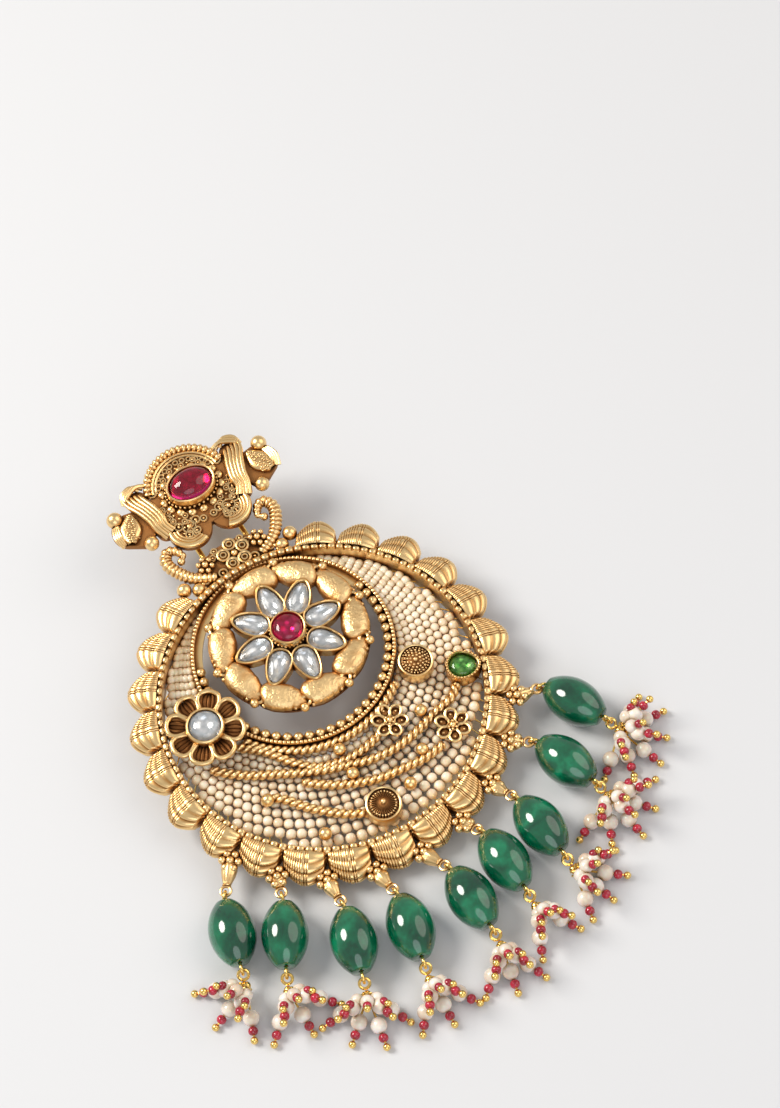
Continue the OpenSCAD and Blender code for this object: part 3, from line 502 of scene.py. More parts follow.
# %% Inner ring and bead row
INNER_R = 17.3
INNER_Y = RING_R - RING_WALL - INNER_R + 0.5
inner_ring = Heap()
marks = 150
turn = np.arange(marks * 6) * 360 / (marks * 6)
depth = np.tile([1, 0.4, 0, 0, 0, 0.4], marks)
# the strip's section with its shelf, from the outer foot round to the inner one
wall = [(17.3, 0.6, 0), (17.3, 3.5, 0), (17.3, 3.8, 0.6), (17.2, 4.02, 1), (16.98, 4.1, 1),
        (16.74, 4.0, 0.8), (16.7, 3.7, 0), (16.7, 2.8, 0), (15.4, 2.8, 0), (15.4, 2.2, 0),
        (16.7, 2.2, 0), (16.7, 0.6, 0)]
grid = [np.concatenate([polar(r + 0 * turn, turn) + [0, INNER_Y],
                        (z - 0.26 * share * depth)[:, None]], 1) for r, z, share in wall]
inner_ring.sheet(np.array(grid), wrap_u=True, wrap_v=True)
ROW_R, ROW_Z, ROW_D = 15.95, 3.446, 1.72
row_step = 6.6
places = []
a = -106.0
while a <= 106:
    flat = polar(ROW_R, a) + [0, INNER_Y]
    places.append([flat[0], flat[1], ROW_Z])
    a += row_step
inner_ring.balls(places, ROW_D / 2, 9, 16)
make_piece(inner_ring, "inner_ring_with_balls", "chand", ["crescent_frame"],
           [antique_gold])
print(len(places), "balls in the row")

# %% [markdown]
# ## The crown
# Between the ring and the stud stands the crown: two tapering scroll horns, ribbed across like
# rams' horns, with flowers bent from double wire between them, flowers of granules beside
# those, and two balls at each foot. A horn is a wire swept along a curve whose thickness swells
# and is notched rib by rib.

# %% Crown
crown = Heap()
HORN = np.array([[.42, .05], [.75, .27], [.94, .58], [1, .82], [.91, 1], [.78, .96], [.71, .80],
                 [.78, .70]])
HORN_APART, HORN_UP, HORN_Z = 10.5, 9.0, 3.32
for side in (-1, 1):
    route = np.array([[side * x * HORN_APART, RING_R + y * HORN_UP, HORN_Z + 0.03 * k]
                      for k, (x, y) in enumerate(HORN)])
    route = smooth_path(route, 22)
    n = len(route)
    share = np.linspace(0, 1, n)
    body = 1.4 * (0.74 + 0.28 * np.sin(np.pi * share) - 0.46 * share)
    length = travelled(route)
    ribbed = body * (1 - 0.20 * (0.5 + 0.5 * np.cos(2 * np.pi * length / 0.80)) ** 1.5)
    crown.wire(route, ribbed, 16)
    # a plain ball closes each curl
    crown.balls([route[-1]], 0.72, 8, 14)
    # the two balls at the foot
    for out, angle, r in ((3.1, 19.5, 1.3), (1.2, 16.2, 1.25)):
        flat = polar(RING_R + out, 180 - side * angle)
        crown.balls([[flat[0], flat[1], RING_H * 0.65]], r, 10, 18)
half_plate = [[6.2, 26.8], [7.4, 30.6], [5.4, 32.7], [1.8, 33.6]]
plate = [[-6.2, 26.8]] + half_plate + [[-x, y] for x, y in half_plate[:0:-1]]
crown.sheet([[[x, y, z] for x, y in plate] for z in (2.2, 3.2)], wrap_v=True, finish=1, caps=True)


def wire_loop_flower(heap, place, petals, out, loop_r, wire_r, heart, turn=0, inner=True):
    """A flower bent from wire: a loop for each petal, a smaller one in it, a ball in the heart."""
    for k in range(petals):
        a = math.radians(turn + 360 * k / petals)
        at = np.array(place) + [out * math.sin(a), out * math.cos(a), 0]
        heap.ring(at, loop_r, wire_r, 20, 7)
        if inner:
            heap.ring(at + [0, 0, 0.06], loop_r * 0.48, wire_r * 0.8, 14, 6)
        heap.balls([at - [0, 0, 0.35]], loop_r * 0.86, 5, 12, finish=1, squash=0.35)
    heap.balls([place], heart, 7, 12)


wire_loop_flower(crown, (0.3, 30.7, 4.05), 5, 1.95, 1.02, 0.24, 0.62)
for side in (-1, 1):
    heart = np.array([side * 5.1, 31.3, 4.0])
    crown.balls([heart + [0, 0, 0.25]], 0.6, 7, 12)
    crown.balls([heart + [1.15 * math.sin(a), 1.15 * math.cos(a), 0]
                 for a in np.radians(np.arange(0, 360, 60))], 0.52, 7, 12)
    # small scrolls and granules fill the rest of the pierced plate
    for x, y, r in ((3.1, 28.6, 0.72), (6.3, 28.9, 0.66), (3.3, 32.0, 0.5), (2.5, 33.0, 0.5),
                    (1.5, 28.1, 0.55)):
        crown.ring(np.array([side * x, y, 3.5]), r, 0.22, 16, 6)
        crown.balls([[side * x, y, 3.45]], 0.3, 5, 8)
    for y in (27.6, 28.5, 29.5, 30.5):
        crown.balls([[side * (7.2 - 0.1 * (y - 27)), y, 3.55]], 0.42, 6, 10)
make_piece(crown, "scroll_crown", "chand", ["crescent_frame"],
           [antique_gold, hollow_gold])

# %% [markdown]
# ## The caps of the drops
# Nine caps carry the drops. Each is a flower of seven granules soldered over a small fluted
# barrel, which ends in a wire loop. The caps lie level with the table, so their places are
# laid down first and the rest is measured from there.

# %% Drop table and caps
WIRE_D, LOOP_R = 0.52, 0.82
LINK = LOOP_R + 0.1
BEAD_D, BEAD_L, BEAD_END_D = 7.6, 10.6, 3.2
HEAD_D = 2.8  # the ball of pin ends at the head of a tassel
CAP_OUT, CAP_Z = 4.2, 3.0
# for each drop: the joint between shells that it hangs at, counted from the lowest; the way and
# the distance from its cap to its bead; the bead's turn; the way and half spread of its pins
DROPS = [(-4, -27.5, 12.0, -15, -70, 48), (-3, -22, 10, -27, 0, 46), (-2, -8, 11.4, -17, -30, 58),
         (-1, -2, 11.2, -12, -2, 37), (0, 11.2, 11.4, 0, -13, 36), (1, 12, 9.8, 1, 4, 29),
         (2, 13.2, 10.9, 4, 38, 50), (3, 35, 9.7, 18, 8, 74), (4, 53, 9.5, 24, 36, 86)]


def level_way(degrees):
    a = math.radians(degrees)
    return np.array([math.sin(a), -math.cos(a), 0])


def unit(v):
    return np.asarray(v, float) / np.linalg.norm(v)


def unshifted(point):
    """A drawn point laid down, but not yet shifted to the middle."""
    return lie_down([point])[0] + [MIDDLE[0], MIDDLE[1], 0]


drops = []
for joint, swing, reach, bead_turn, fan, spread in DROPS:
    flat = polar(RING_R + CAP_OUT, joint * SHELL_PITCH)
    cap = unshifted([flat[0], flat[1], CAP_Z])
    bead = np.append((cap + level_way(swing) * reach)[:2], BEAD_D / 2)
    way = level_way(bead_turn)
    top, foot = bead - way * (BEAD_L / 2 + 0.3), bead + way * (BEAD_L / 2 + 0.3)
    cap_way = unit(top - cap)
    cap_loop = top - cap_way * (LOOP_R + LINK)
    foot_loop = foot + way * LOOP_R
    head_way = unit([way[0], way[1], -0.62])
    head_loop = foot_loop + head_way * LINK
    drops.append({"cap": cap, "bead": bead, "way": way, "cap_way": cap_way, "cap_loop": cap_loop,
                  "head_way": head_way, "head_loop": head_loop,
                  "head": head_loop + head_way * (LOOP_R + HEAD_D * 0.36), "fan": fan,
                  "spread": spread})

caps = Heap()
slope_up = lie_down([[0, 0, 1]])[0] - lie_down([[0, 0, 0]])[0]
for d in drops:
    cap, way = d["cap"], d["cap_way"]
    side = unit(np.cross(way, slope_up))
    ahead = np.cross(slope_up, side)
    centre = cap + slope_up * 0.55
    flower = [centre + slope_up * 0.35]
    flower += [centre + 1.28 * (math.sin(a) * side + math.cos(a) * ahead)
               for a in np.radians(np.arange(30, 390, 60))]
    caps.balls(flower, 0.70, 8, 14)
    start, end = cap - way * 0.9 - slope_up * 0.2, d["cap_loop"] - way * (LOOP_R + 0.05)
    length = np.linalg.norm(end - start)
    steps = np.linspace(0, 1, 14)
    bulge = 0.62 + 0.75 * np.sin(np.pi * np.clip(0.15 + steps * 0.85, 0, 1)) ** 1.2
    barrel = [(r, s * length) for r, s in zip(bulge, steps)]
    caps.turned(barrel, 30, start, lambda turn, step: (-0.13 * (0.5 + 0.5 * np.cos(6 * turn)), 0),
                frame=frame_along(end - start))
    caps.ring(end - way * 0.15, 0.62, 0.16, 18, 6, axis=way)
    side = unit(np.cross(way, [0, 0, 1]))
    caps.ring(d["cap_loop"], LOOP_R, WIRE_D / 2, 24, 8, axis=np.cross(side, way))
make_piece(caps, "granule_caps", "chand", ["crescent_frame"], [antique_gold],
           set_down)

# %% [markdown]
# ## The pearls
# Real cultured pearls are thin layers of nacre: light goes in a little way and comes back warm,
# and the layers give a soft double gleam. A little scattering under the skin, a clear coat and a
# thin film a few hundred nanometres thick give that. Each string's tone drifts slightly from
# white to cream to blush over a few millimetres, so no two pearls look the same.
# Where pearls press on each other, the occlusion node darkens their colour to warm brown: painted shade.


# %% Pearl finish
def pearl(name, light, warm, blush):
    made, tree = new_material(name)
    place = add_node(tree, "TexCoord")
    drift = add_node(tree, "TexNoise", {"Scale": 1 / (2.2 * MM), "Detail": 1},
                     Vector=place.outputs["Object"])
    tone = ramp(tree, drift.outputs[0], [(0.36, light), (0.52, warm), (0.68, blush)])
    # painted shade: where pearls crowd each other, the colour turns warm brown
    closed_in = add_node(tree, "AmbientOcclusion", {"samples": 3, "Distance": 0.7 * MM})
    painted_gap_shade = ramp(tree, closed_in.outputs["AO"],
                 [(0.18, "#94643a"), (0.5, "#ead2ac"), (0.85, "#ffffff")])
    both = add_node(tree, "Mix", {"data_type": "RGBA", "blend_type": "MULTIPLY"}, _6=tone, _7=painted_gap_shade)
    both.inputs[0].default_value = 1
    skin = add_node(tree, "TexNoise", {"Scale": 1 / (0.35 * MM), "Detail": 1},
                    Vector=place.outputs["Object"])
    bump = add_node(tree, "Bump", {"Strength": 0.08, "Distance": 0.03 * MM}, Height=skin.outputs[0])
    finish_with(tree, add_node(tree, "BsdfPrincipled", {
        "Roughness": 0.24, "IOR": 1.53, "Coat Weight": 0.85, "Coat Roughness": 0.07,
        "Subsurface Weight": 0.12, "Subsurface Scale": 0.4 * MM, "Thin Film Thickness": 380.0,
        "Thin Film IOR": 1.4}, Base_Color=both.outputs[2], Normal=bump.outputs[0]))
    return made


seed_pearl = pearl("seed_pearl_nacre", "#f5ead6", "#eedfc4", "#e5cfb0")
round_pearl = pearl("round_pearl_nacre", "#f1e9df", "#e6d9c8", "#d8c2ab")

# %% [markdown]
# ## The pearl field
# Strings of seed pearls run from the inner ring to the ring wall like the rays of a fan and fill
# the crescent. Near the inner ring the strings press together and every other one rides up a
# little. A string is a line of beads from one point on each ring to the other, and a bead is as
# wide as the room its string has, within the sizes sold.

# %% Pearl field
STRINGS = 84
STRING_Z = 1.30
SHORTEST = 1.7  # a string takes at least one bead
BEAD_SIZES = (1.62, 1.94)
THREAD_R = 0.12
random.seed(12)
pearls, sizes, lengths = [], [], []
threads = Heap()
# the room that a string has at its inner and at its outer end
room = [2 * math.pi * INNER_R / STRINGS, 2 * math.pi * RING_R / STRINGS]
for k in range(STRINGS):
    angle = -180 + 360 * (k + 0.5) / STRINGS
    outer = np.append(polar(inside - 0.15, angle), STRING_Z)
    inner = np.append(polar(INNER_R + 0.15, angle) + [0, INNER_Y], STRING_Z)
    length = np.linalg.norm(outer - inner)
    if length < SHORTEST:
        continue
    lengths.append(length)
    done = 0.0
    while True:
        size = float(np.clip(np.interp(done / length, [0, 1], room), *BEAD_SIZES))
        size *= random.uniform(0.96, 1.02)
        if done + size > length + 0.1:
            break
        at = inner + (outer - inner) * (done + size / 2) / length
        pearls.append(at + [random.uniform(-0.06, 0.06), random.uniform(-0.06, 0.06),
                            0.10 * (k % 2) * (1 - done / length)])
        sizes.append(size / 2)
        done += size * 0.95
    threads.wire([inner, (inner + outer) / 2, outer], THREAD_R, 6)
field = Heap()
field.balls(pearls, sizes, 8, 14)
make_piece(field, "seed_pearl_strings", "chand", ["pearl_field"], [seed_pearl])
make_piece(threads, "pearl_threads", "chand", ["pearl_field"], [bright_gold])
print(len(pearls), "seed pearls on", len(lengths), "strings,", round(min(lengths), 1), "to",
      round(max(lengths), 1), "mm long")

# %% [markdown]
# ## Places on the crescent
# The ornaments lie between the inner ring and the ring wall. A place is given as the maker would
# mark it: how many degrees round from the lowest point, and how far across the crescent, from 0
# where the piece just clears the inner ring to 1 where it just clears the wall.


# %% Places on the crescent
SKIN = 0.1  # clearance between neighbours


def spot(place, half):
    """The flat point at (angle, share) for a piece that reaches half to each side."""
    angle, share = place
    c = INNER_Y * math.cos(math.radians(angle))
    start = math.sqrt(INNER_R ** 2 - INNER_Y ** 2 + c * c) - c + half + SKIN
    end = RING_R - RING_WALL - half - SKIN
    return polar(start + (end - start) * share, angle)


TOP_Z = 2.2
ROPE_D = 1.5
ROPES = [
    [(-89, .179), (-75.7, .066), (-53.1, .153), (-34, .21), (-12.2, .206), (7, .19), (24.4, .172)],
    [(-86.4, .698), (-79.2, .551), (-70.3, .419), (-57.8, .301), (-41.2, .257), (-20.4, .252),
     (2.4, .309), (20.6, .381), (36.9, .458), (49.5, .553), (57.7, .691), (64.7, .75)],
    [(-43.5, .363), (-26.6, .406), (-11.9, .453), (1.9, .515), (13.3, .567), (25.5, .667),
     (36.1, .757)],
    [(-56.4, .583), (-48.6, .572), (-39.2, .615), (-29.1, .665), (-19.4, .722), (-9.5, .778)]]
BALLS = [(-11, .359), (-14.6, .079), (49.1, .407), (28.4, .608), (11.8, .748), (-56.8, .638),
         (-29.4, .913)]
print(len(ROPES), "ropes and", len(BALLS), "balls have their places on the crescent")
FLOWER_AT, FLOWER_POST = (-102.4, .239), 2.4
DOME_A_AT, DOME_C_AT = (78.2, .125), (-3.8, .889)
WIRE_FLOWERS_AT = [(36.5, .05), (44.4, .882)]
GREEN_AT = (70.2, .991)

# %% [markdown]
# ## Twisted ropes
# Each rope is two brass wires twisted together, which gives a row of slanting bulges with dark
# grooves. Swept along a curve, its outline is not a circle but a figure of eight that turns as
# it goes. One full turn takes 2.5 mm, so a bulge shows every 1.25 mm.

# %% Ropes
ropes = Heap()
TWIST_MM = 2.5


def twisted_rope(heap, path, diameter, twist_mm=TWIST_MM, sides=20, finish=0):
    path = np.asarray(path, float)
    length = travelled(path)
    turn = np.arange(sides) * 2 * math.pi / sides
    phase = length[:, None] * 2 * math.pi / twist_mm
    r = diameter / 2 * (0.58 + 0.54 * np.abs(np.cos(turn[None] - phase)) ** 0.8)
    from_end = np.minimum(np.arange(len(path)), np.arange(len(path))[::-1])
    taper = np.clip(from_end / 4 + 0.45, 0, 1)[:, None]
    section = np.stack([r * taper * np.cos(turn), r * taper * np.sin(turn)], -1)
    heap.sweep(path, section, finish=finish)


for route in ROPES:
    points = [np.append(spot(p, ROPE_D / 2), TOP_Z + ROPE_D / 2) for p in route]
    points = smooth_path(points, 8)
    length = travelled(points)
    even = np.arange(0, length[-1], 0.17)
    points = np.stack([np.interp(even, length, points[:, i]) for i in range(3)], 1)
    twisted_rope(ropes, points, ROPE_D)
arc = np.arange(-57, 40, 0.55)
points = np.column_stack([polar(INNER_R + ROPE_D / 2 + SKIN, arc) + [0, INNER_Y],
                          TOP_Z + ROPE_D / 2 + 0 * arc])
twisted_rope(ropes, points, ROPE_D)
make_piece(ropes, "twisted_ropes", "chand", ["ornament_spray"], [antique_gold])

# %% [markdown]
# ## The large flower
# Eight petals, each a rim of round wire over a sunken, ribbed cup, surround a clear stone in a
# plain collar. The rim is one wire path per petal; the cup is a sheet whose height dips in its
# middle and rises in five ribs that run outwards.

# %% Large flower
FLOWER_R = 6.8
FLOWER_Z = 4.696
flower = Heap()
at = np.append(spot(FLOWER_AT, FLOWER_POST), 0)
for k in range(8):
    a = math.radians(45 * k + 10)
    out, side = np.array([math.sin(a), -math.cos(a), 0]), np.array([math.cos(a), math.sin(a), 0])
    rim = [(2.9, -1.0), (3.7, -1.45), (4.7, -1.82), (5.7, -1.62), (6.25, -0.85), (6.42, 0),
           (6.25, 0.85), (5.7, 1.62), (4.7, 1.82), (3.7, 1.45), (2.9, 1.0)]
    path = smooth_path([at + out * o + side * s + [0, 0, FLOWER_Z + 0.95 + 0.08 * o]
                        for o, s in rim], 4)
    flower.wire(path, 0.40, 10)
    across, outward = np.meshgrid(np.linspace(-1, 1, 31), np.linspace(2.6, 6.2, 14))
    half = np.interp(outward, [2.6, 3.7, 4.7, 5.7, 6.2], [0.95, 1.4, 1.8, 1.6, 0.75])
    bowl = 0.75 + 0.65 * np.abs(across) ** 2.2 + 0.28 * (outward - 2.6) / 3.6
    ribs = 0.22 * np.abs(np.sin(np.pi * 2.5 * (across + 1))) ** 0.6 * (1 - np.abs(across) ** 4)
    cup = at + outward[..., None] * out + (across * half)[..., None] * side
    cup = cup + np.stack([0 * bowl, 0 * bowl, FLOWER_Z - 0.25 + bowl + ribs], -1)
    flower.sheet(cup, finish=1)
    back = cup.copy()
    back[..., 2] = FLOWER_Z + 0.42
    flower.sheet(back, finish=1)
flower.turned([(2.3, TOP_Z), (2.4, TOP_Z + 0.3), (2.4, FLOWER_Z + 0.2), (3.1, FLOWER_Z + 0.3)], 30, at)
COLLAR_TOP = FLOWER_Z + 2.5
flower.turned([(3.0, FLOWER_Z + 0.2), (3.30, COLLAR_TOP - 1.3), (3.28, COLLAR_TOP - 0.4),
               (3.12, COLLAR_TOP - 0.08),
               (2.95, COLLAR_TOP), (2.78, COLLAR_TOP - 0.08), (2.70, COLLAR_TOP - 0.35),
               (2.69, COLLAR_TOP - 1.2)], 48, at)
make_piece(flower, "eight_petal_flower", "chand", ["ornament_spray"],
           [antique_gold, hollow_gold])

# %% [markdown]
# ## Domes, wire flowers and balls
# Two small drums stand on the crescent. One is topped with rings of granules round a middle one,
# the other rises to a point and is milled like a coin's edge. Their rims carry fine teeth.

# %% Domes, wire flowers and balls
small = Heap()
DOME_R, DOME_H = 3.0, 3.2
for place, pointed in ((DOME_A_AT, False), (DOME_C_AT, True)):
    at = np.append(spot(place, DOME_R), TOP_Z)
    small.turned([(2.85, 0), (3.0, 0.35), (3.0, DOME_H - 0.3), (2.92, DOME_H - 0.06), (2.76, DOME_H),
                  (2.62, DOME_H - 0.08), (2.56, DOME_H - 0.35)], 60, at)
    top = [(2.56, DOME_H - 0.30), (2.3, DOME_H - 0.30), (1.9, DOME_H - 0.16), (1.3, DOME_H + 0.02),
           (0.8, DOME_H + (0.35 if pointed else 0.14)), (0.35, DOME_H + (0.75 if pointed else 0.22))]
    mill = (lambda turn, step: (0, 0.16 * np.sign(np.cos(32 * turn)) * (step in (1, 2))
                                + (0.10 * np.cos(32 * turn) if pointed and step == 3 else 0)))
    small.turned(top, 192, at, mill, finish=1)
    small.balls([at + [0, 0, DOME_H + (0.75 if pointed else 0.25)]], 0.5 if pointed else 0.42, 7, 12)
    rows = ((2.08, 26, 0.19),) if pointed else ((0.85, 8, 0.24), (1.35, 13, 0.23),
                                                (1.82, 18, 0.22), (2.25, 26, 0.17))
    for r, count, size in rows:
        turn = np.arange(count) * 2 * math.pi / count
        height = DOME_H + 0.22 - 0.20 * r + (0.05 if pointed else 0)
        small.balls([at + [r * math.cos(t), r * math.sin(t), height] for t in turn], size, 5, 8)
for k, place in enumerate(WIRE_FLOWERS_AT):
    at = np.append(spot(place, 3.1), TOP_Z + 1.25)
    for j in range(6):
        a = math.radians(60 * j + 20 * k)
        out = np.array([math.sin(a), math.cos(a), 0])
        side = np.array([math.cos(a), -math.sin(a), 0])
        loop = [at + out * (1.85 + 1.12 * math.cos(t)) + side * 0.92 * math.sin(t)
                + [0, 0, 0.18 * math.cos(t)]
                for t in np.linspace(0, 2 * math.pi, 24, endpoint=False)]
        small.wire(loop, 0.25, 8, True)
        small.balls([at + out * 1.85 - [0, 0, 0.55]], 0.95, 5, 14, finish=1, squash=0.4)
        small.balls([at + out * 2.0 - [0, 0, 0.2]], 0.24, 5, 8)
    small.balls([at + [0, 0, 0.15]], 0.62, 6, 12)
    small.balls([at + [0.72 * math.cos(t), 0.72 * math.sin(t), 0.22]
                 for t in np.arange(6) * math.pi / 3], 0.27, 5, 8)
    small.turned([(1.9, -1.25), (2.2, -1.1), (2.2, -0.6), (1.8, -0.5)], 24, at, finish=1)
small.balls([np.append(spot(p, 1.1), TOP_Z + 1.1) for p in BALLS], 1.1, 12, 20)
make_piece(small, "domes_flowers_balls", "chand", ["ornament_spray"],
           [antique_gold, hollow_gold])

# %% [markdown]
# ## The medallion
# Ten fleshy leaves curl round a flower of eight pear stones with a round ruby in the middle. The
# leaves are castings: a broad head at one end, a tail at the other, and a fine stippled skin.
# Each is a sheet over the line from head to tail. A short table gives its middle line and its
# half width along the way, and its height is a soft crown that rolls down to the edge.

# %% Medallion leaves
MEDALLION = np.array([0.4, 11.85, 4.396])
leaves = Heap()


def on_leaf(r, degrees):
    return np.append(polar(r, degrees), 0)


def puffed(heap, spine, halves, height, foot, finish=0, sides=22, edge=2.6):
    """A pillow over a spine: halves are its half widths, height its height at each point."""
    spine, halves = np.asarray(spine, float), np.asarray(halves, float)
    ahead = np.gradient(spine, axis=0)
    ahead /= np.linalg.norm(ahead, axis=1)[:, None]
    side = np.stack([ahead[:, 1], -ahead[:, 0], 0 * halves], 1)
    turn = np.linspace(0, math.pi, sides)
    rows = []
    for point, s, half, high in zip(spine, side, halves, np.broadcast_to(height, len(spine))):
        top = high * np.sin(turn)[:, None] ** (2 / edge) * [0, 0, 1]
        rows.append(point + s * (half * np.sign(np.cos(turn)) * np.abs(np.cos(turn)) ** 0.8)[:, None] + top
                    + [0, 0, foot])
    heap.sheet(np.array(rows), finish=finish)


LEAF = np.array([(0, 11.7, 0.5), (.05, 11.5, 1.6), (.14, 11.3, 2.2), (.35, 11.25, 2.5), (.6, 11.4, 2.35),
                 (.78, 11.8, 1.95), (.9, 12.4, 1.35), (.96, 12.9, 0.85), (1, 13.2, 0.3)])
for k in range(10):
    turn_by = 36 * k
    steps = np.linspace(0, 1, 34)
    radii, halves = (np.interp(steps, LEAF[:, 0], LEAF[:, i]) for i in (1, 2))
    degrees = turn_by - 18.5 + 38.5 * steps
    spine = np.array([on_leaf(r, a) for r, a in zip(radii, degrees)])
    height = 2.15 * (halves / 2.4) ** 0.6 * (1 - 0.25 * steps)
    puffed(leaves, spine, halves, height, 0.5, finish=1)
    # the leaf's upright side, dark with lacquer
    outline = np.array([spine[i] + g * on_leaf(halves[i], degrees[i]) for g in (1, -1)
                        for i in (range(34) if g == 1 else range(33, -1, -1))])
    sole = outline * [1, 1, 0]
    leaves.sheet(np.array([sole, sole + [0, 0, 0.55]]), wrap_v=True, finish=2, caps=True)
    # two granules where leaves meet
    curl = [on_leaf(12.6 - 0.75 * math.cos(t), turn_by + 18.5 + 4.2 * math.sin(t)) + [0, 0, 1.35]
            for t in np.linspace(-0.6, 3.6, 14)]
    leaves.wire(curl, np.linspace(0.42, 0.24, 14), 8)
    leaves.balls([on_leaf(13.62, turn_by - 18.5) + [0, 0, 1.2]], 0.80, 9, 14)
    leaves.balls([on_leaf(13.35, turn_by - 12) + [0, 0, 0.9],
                  on_leaf(13.3, turn_by - 25) + [0, 0, 0.9]], 0.42, 6, 10)
star = np.array([polar(10.17 if i % 2 == 0 else 6.2, 22.5 * i) for i in range(16)])
leaves.sheet([np.column_stack([star, np.full(16, z)]) for z in (0, 0.86, 0.9)], wrap_v=True,
             finish=2, caps=True)
make_piece(leaves, "medallion_leaves", "chand", ["medallion_setting"],
           [antique_gold, satin_gold, hollow_gold], lambda p: lie_down(p + MEDALLION))

# %% [markdown]
# ## Bezels
# A bezel is a strip of metal round a stone, its top edge pushed over the stone. Here the strip
# is a band with a rounded top that follows the stone's outline.

# %% Bezels
PEAR_W = 3.7
PEAR_RING_R = 5.42
PEAR_UP, RUBY_UP, RUBY_R = 2.5, 4.3, 2.6


def drop_outline(half, tip, grow, n):
    """A pear outline, its tip towards -y."""
    turn = np.arange(n) * 2 * math.pi / n
    s, c = np.sin(turn), np.cos(turn)
    narrow = np.where(c < 0, 1 - 0.16 * np.clip(-c, 0, 1) ** 2.2, 1)
    return np.stack([-(half + grow) * s * narrow, np.where(c > 0, (half + grow) * c, (tip + grow * 1.4) * c)], 1)


def band(heap, outline, foot, top, finish=0, inner_drop=1.0):
    """A bezel wall: outline(grow) gives its line."""
    steps = [(0.52, foot), (0.46, foot + 0.25), (0.46, top - 0.28), (0.42, top - 0.10), (0.30, top),
             (0.16, top - 0.04), (0.06, top - 0.20), (0.05, top - inner_drop)]
    heap.sheet([np.column_stack([outline(grow), np.full(len(outline(grow)), z)]) for grow, z in steps],
               wrap_v=True, finish=finish)


def about(points, degrees, middle):
    a = math.radians(degrees)
    turned = np.array([[math.cos(a), math.sin(a)], [-math.sin(a), math.cos(a)]])
    return points @ turned + middle


bezels = Heap()
for k in range(8):
    a = 45 * k
    middle = polar(PEAR_RING_R, a)
    band(bezels, lambda grow: about(drop_outline(PEAR_W / 2, 4.05, grow, 48), a, middle), 0.5, PEAR_UP)


def round_line(grow):
    return polar(RUBY_R + grow, np.arange(64) * 360 / 64)


band(bezels, round_line, 0.5, RUBY_UP, inner_drop=1.9)
for i in range(30):
    bezels.balls([np.append(polar(RUBY_R + 0.50, 12 * i), PEAR_UP + 0.25)], 0.20, 4, 7)
bezel_gold = gold("bezel_gold_plate", "#f3cb8a", "#cf9a5a", "#4a2d1a", 0.26, 0.6, 0.3, 0.2)
make_piece(bezels, "medallion_bezels", "chand", ["medallion_setting"],
           [bezel_gold],
    lambda p: lie_down(p + MEDALLION))

# %% [markdown]
# ## Cut stones
# The clear stones are foil-backed glass, as in most fashion jewellery: the cut underside carries
# a silver mirror that throws the light back up through the crown. A coloured glass crown over a
# metal mirror does the same here, with each facet flat so that it flashes on its own.

# %% Stone materials
def cut_glass(name, colour, rough=0.0):
    made, tree = new_material(name)
    place = add_node(tree, "TexCoord")
    haze = add_node(tree, "TexNoise", {"Scale": 1 / (1.5 * MM), "Detail": 1}, Vector=place.outputs["Object"])
    wear = add_node(tree, "MapRange", {"From Min": 0.4, "From Max": 0.7, "To Min": rough, "To Max": rough + 0.05},
                    Value=haze.outputs[0])
    finish_with(tree, add_node(tree, "BsdfPrincipled", {
        "Base Color": linear(colour), "IOR": 1.54, "Transmission Weight": 1.0}, Roughness=wear.outputs[0]))
    return made


def foil(name, light, dark):
    made, tree = new_material(name)
    place = add_node(tree, "TexCoord")
    # painted sparkle: the lighter cell middles and darker cell edges stand for the flashes and dark facets of a
    # cut stone; the mirror's own reflection is real
    painted_sparkle_cells = add_node(tree, "TexVoronoi", {"Scale": 1 / (0.9 * MM)}, Vector=place.outputs["Object"])
    colour = ramp(tree, painted_sparkle_cells.outputs["Distance"], [(0.1, light), (0.75, dark)])
    finish_with(tree, add_node(tree, "BsdfPrincipled", {"Metallic": 0.7, "Roughness": 0.22}, Base_Color=colour))
    return made


clear_glass = cut_glass("clear_cut_glass", "#fbfcfc")
silver_foil = foil("silver_foil", "#ffffff", "#d5dadd")
ruby_glass = cut_glass("magenta_ruby_glass", "#e0307c")
ruby_foil = foil("ruby_foil", "#f2c4d4", "#b33a6c")
green_glass = cut_glass("light_green_glass", "#a8e08c")
green_foil = foil("green_foil", "#d9ecc4", "#4c8f4c")

# %% Cut stones
TABLE, CROWN, GIRDLE = 0.58, 0.32, 0.16


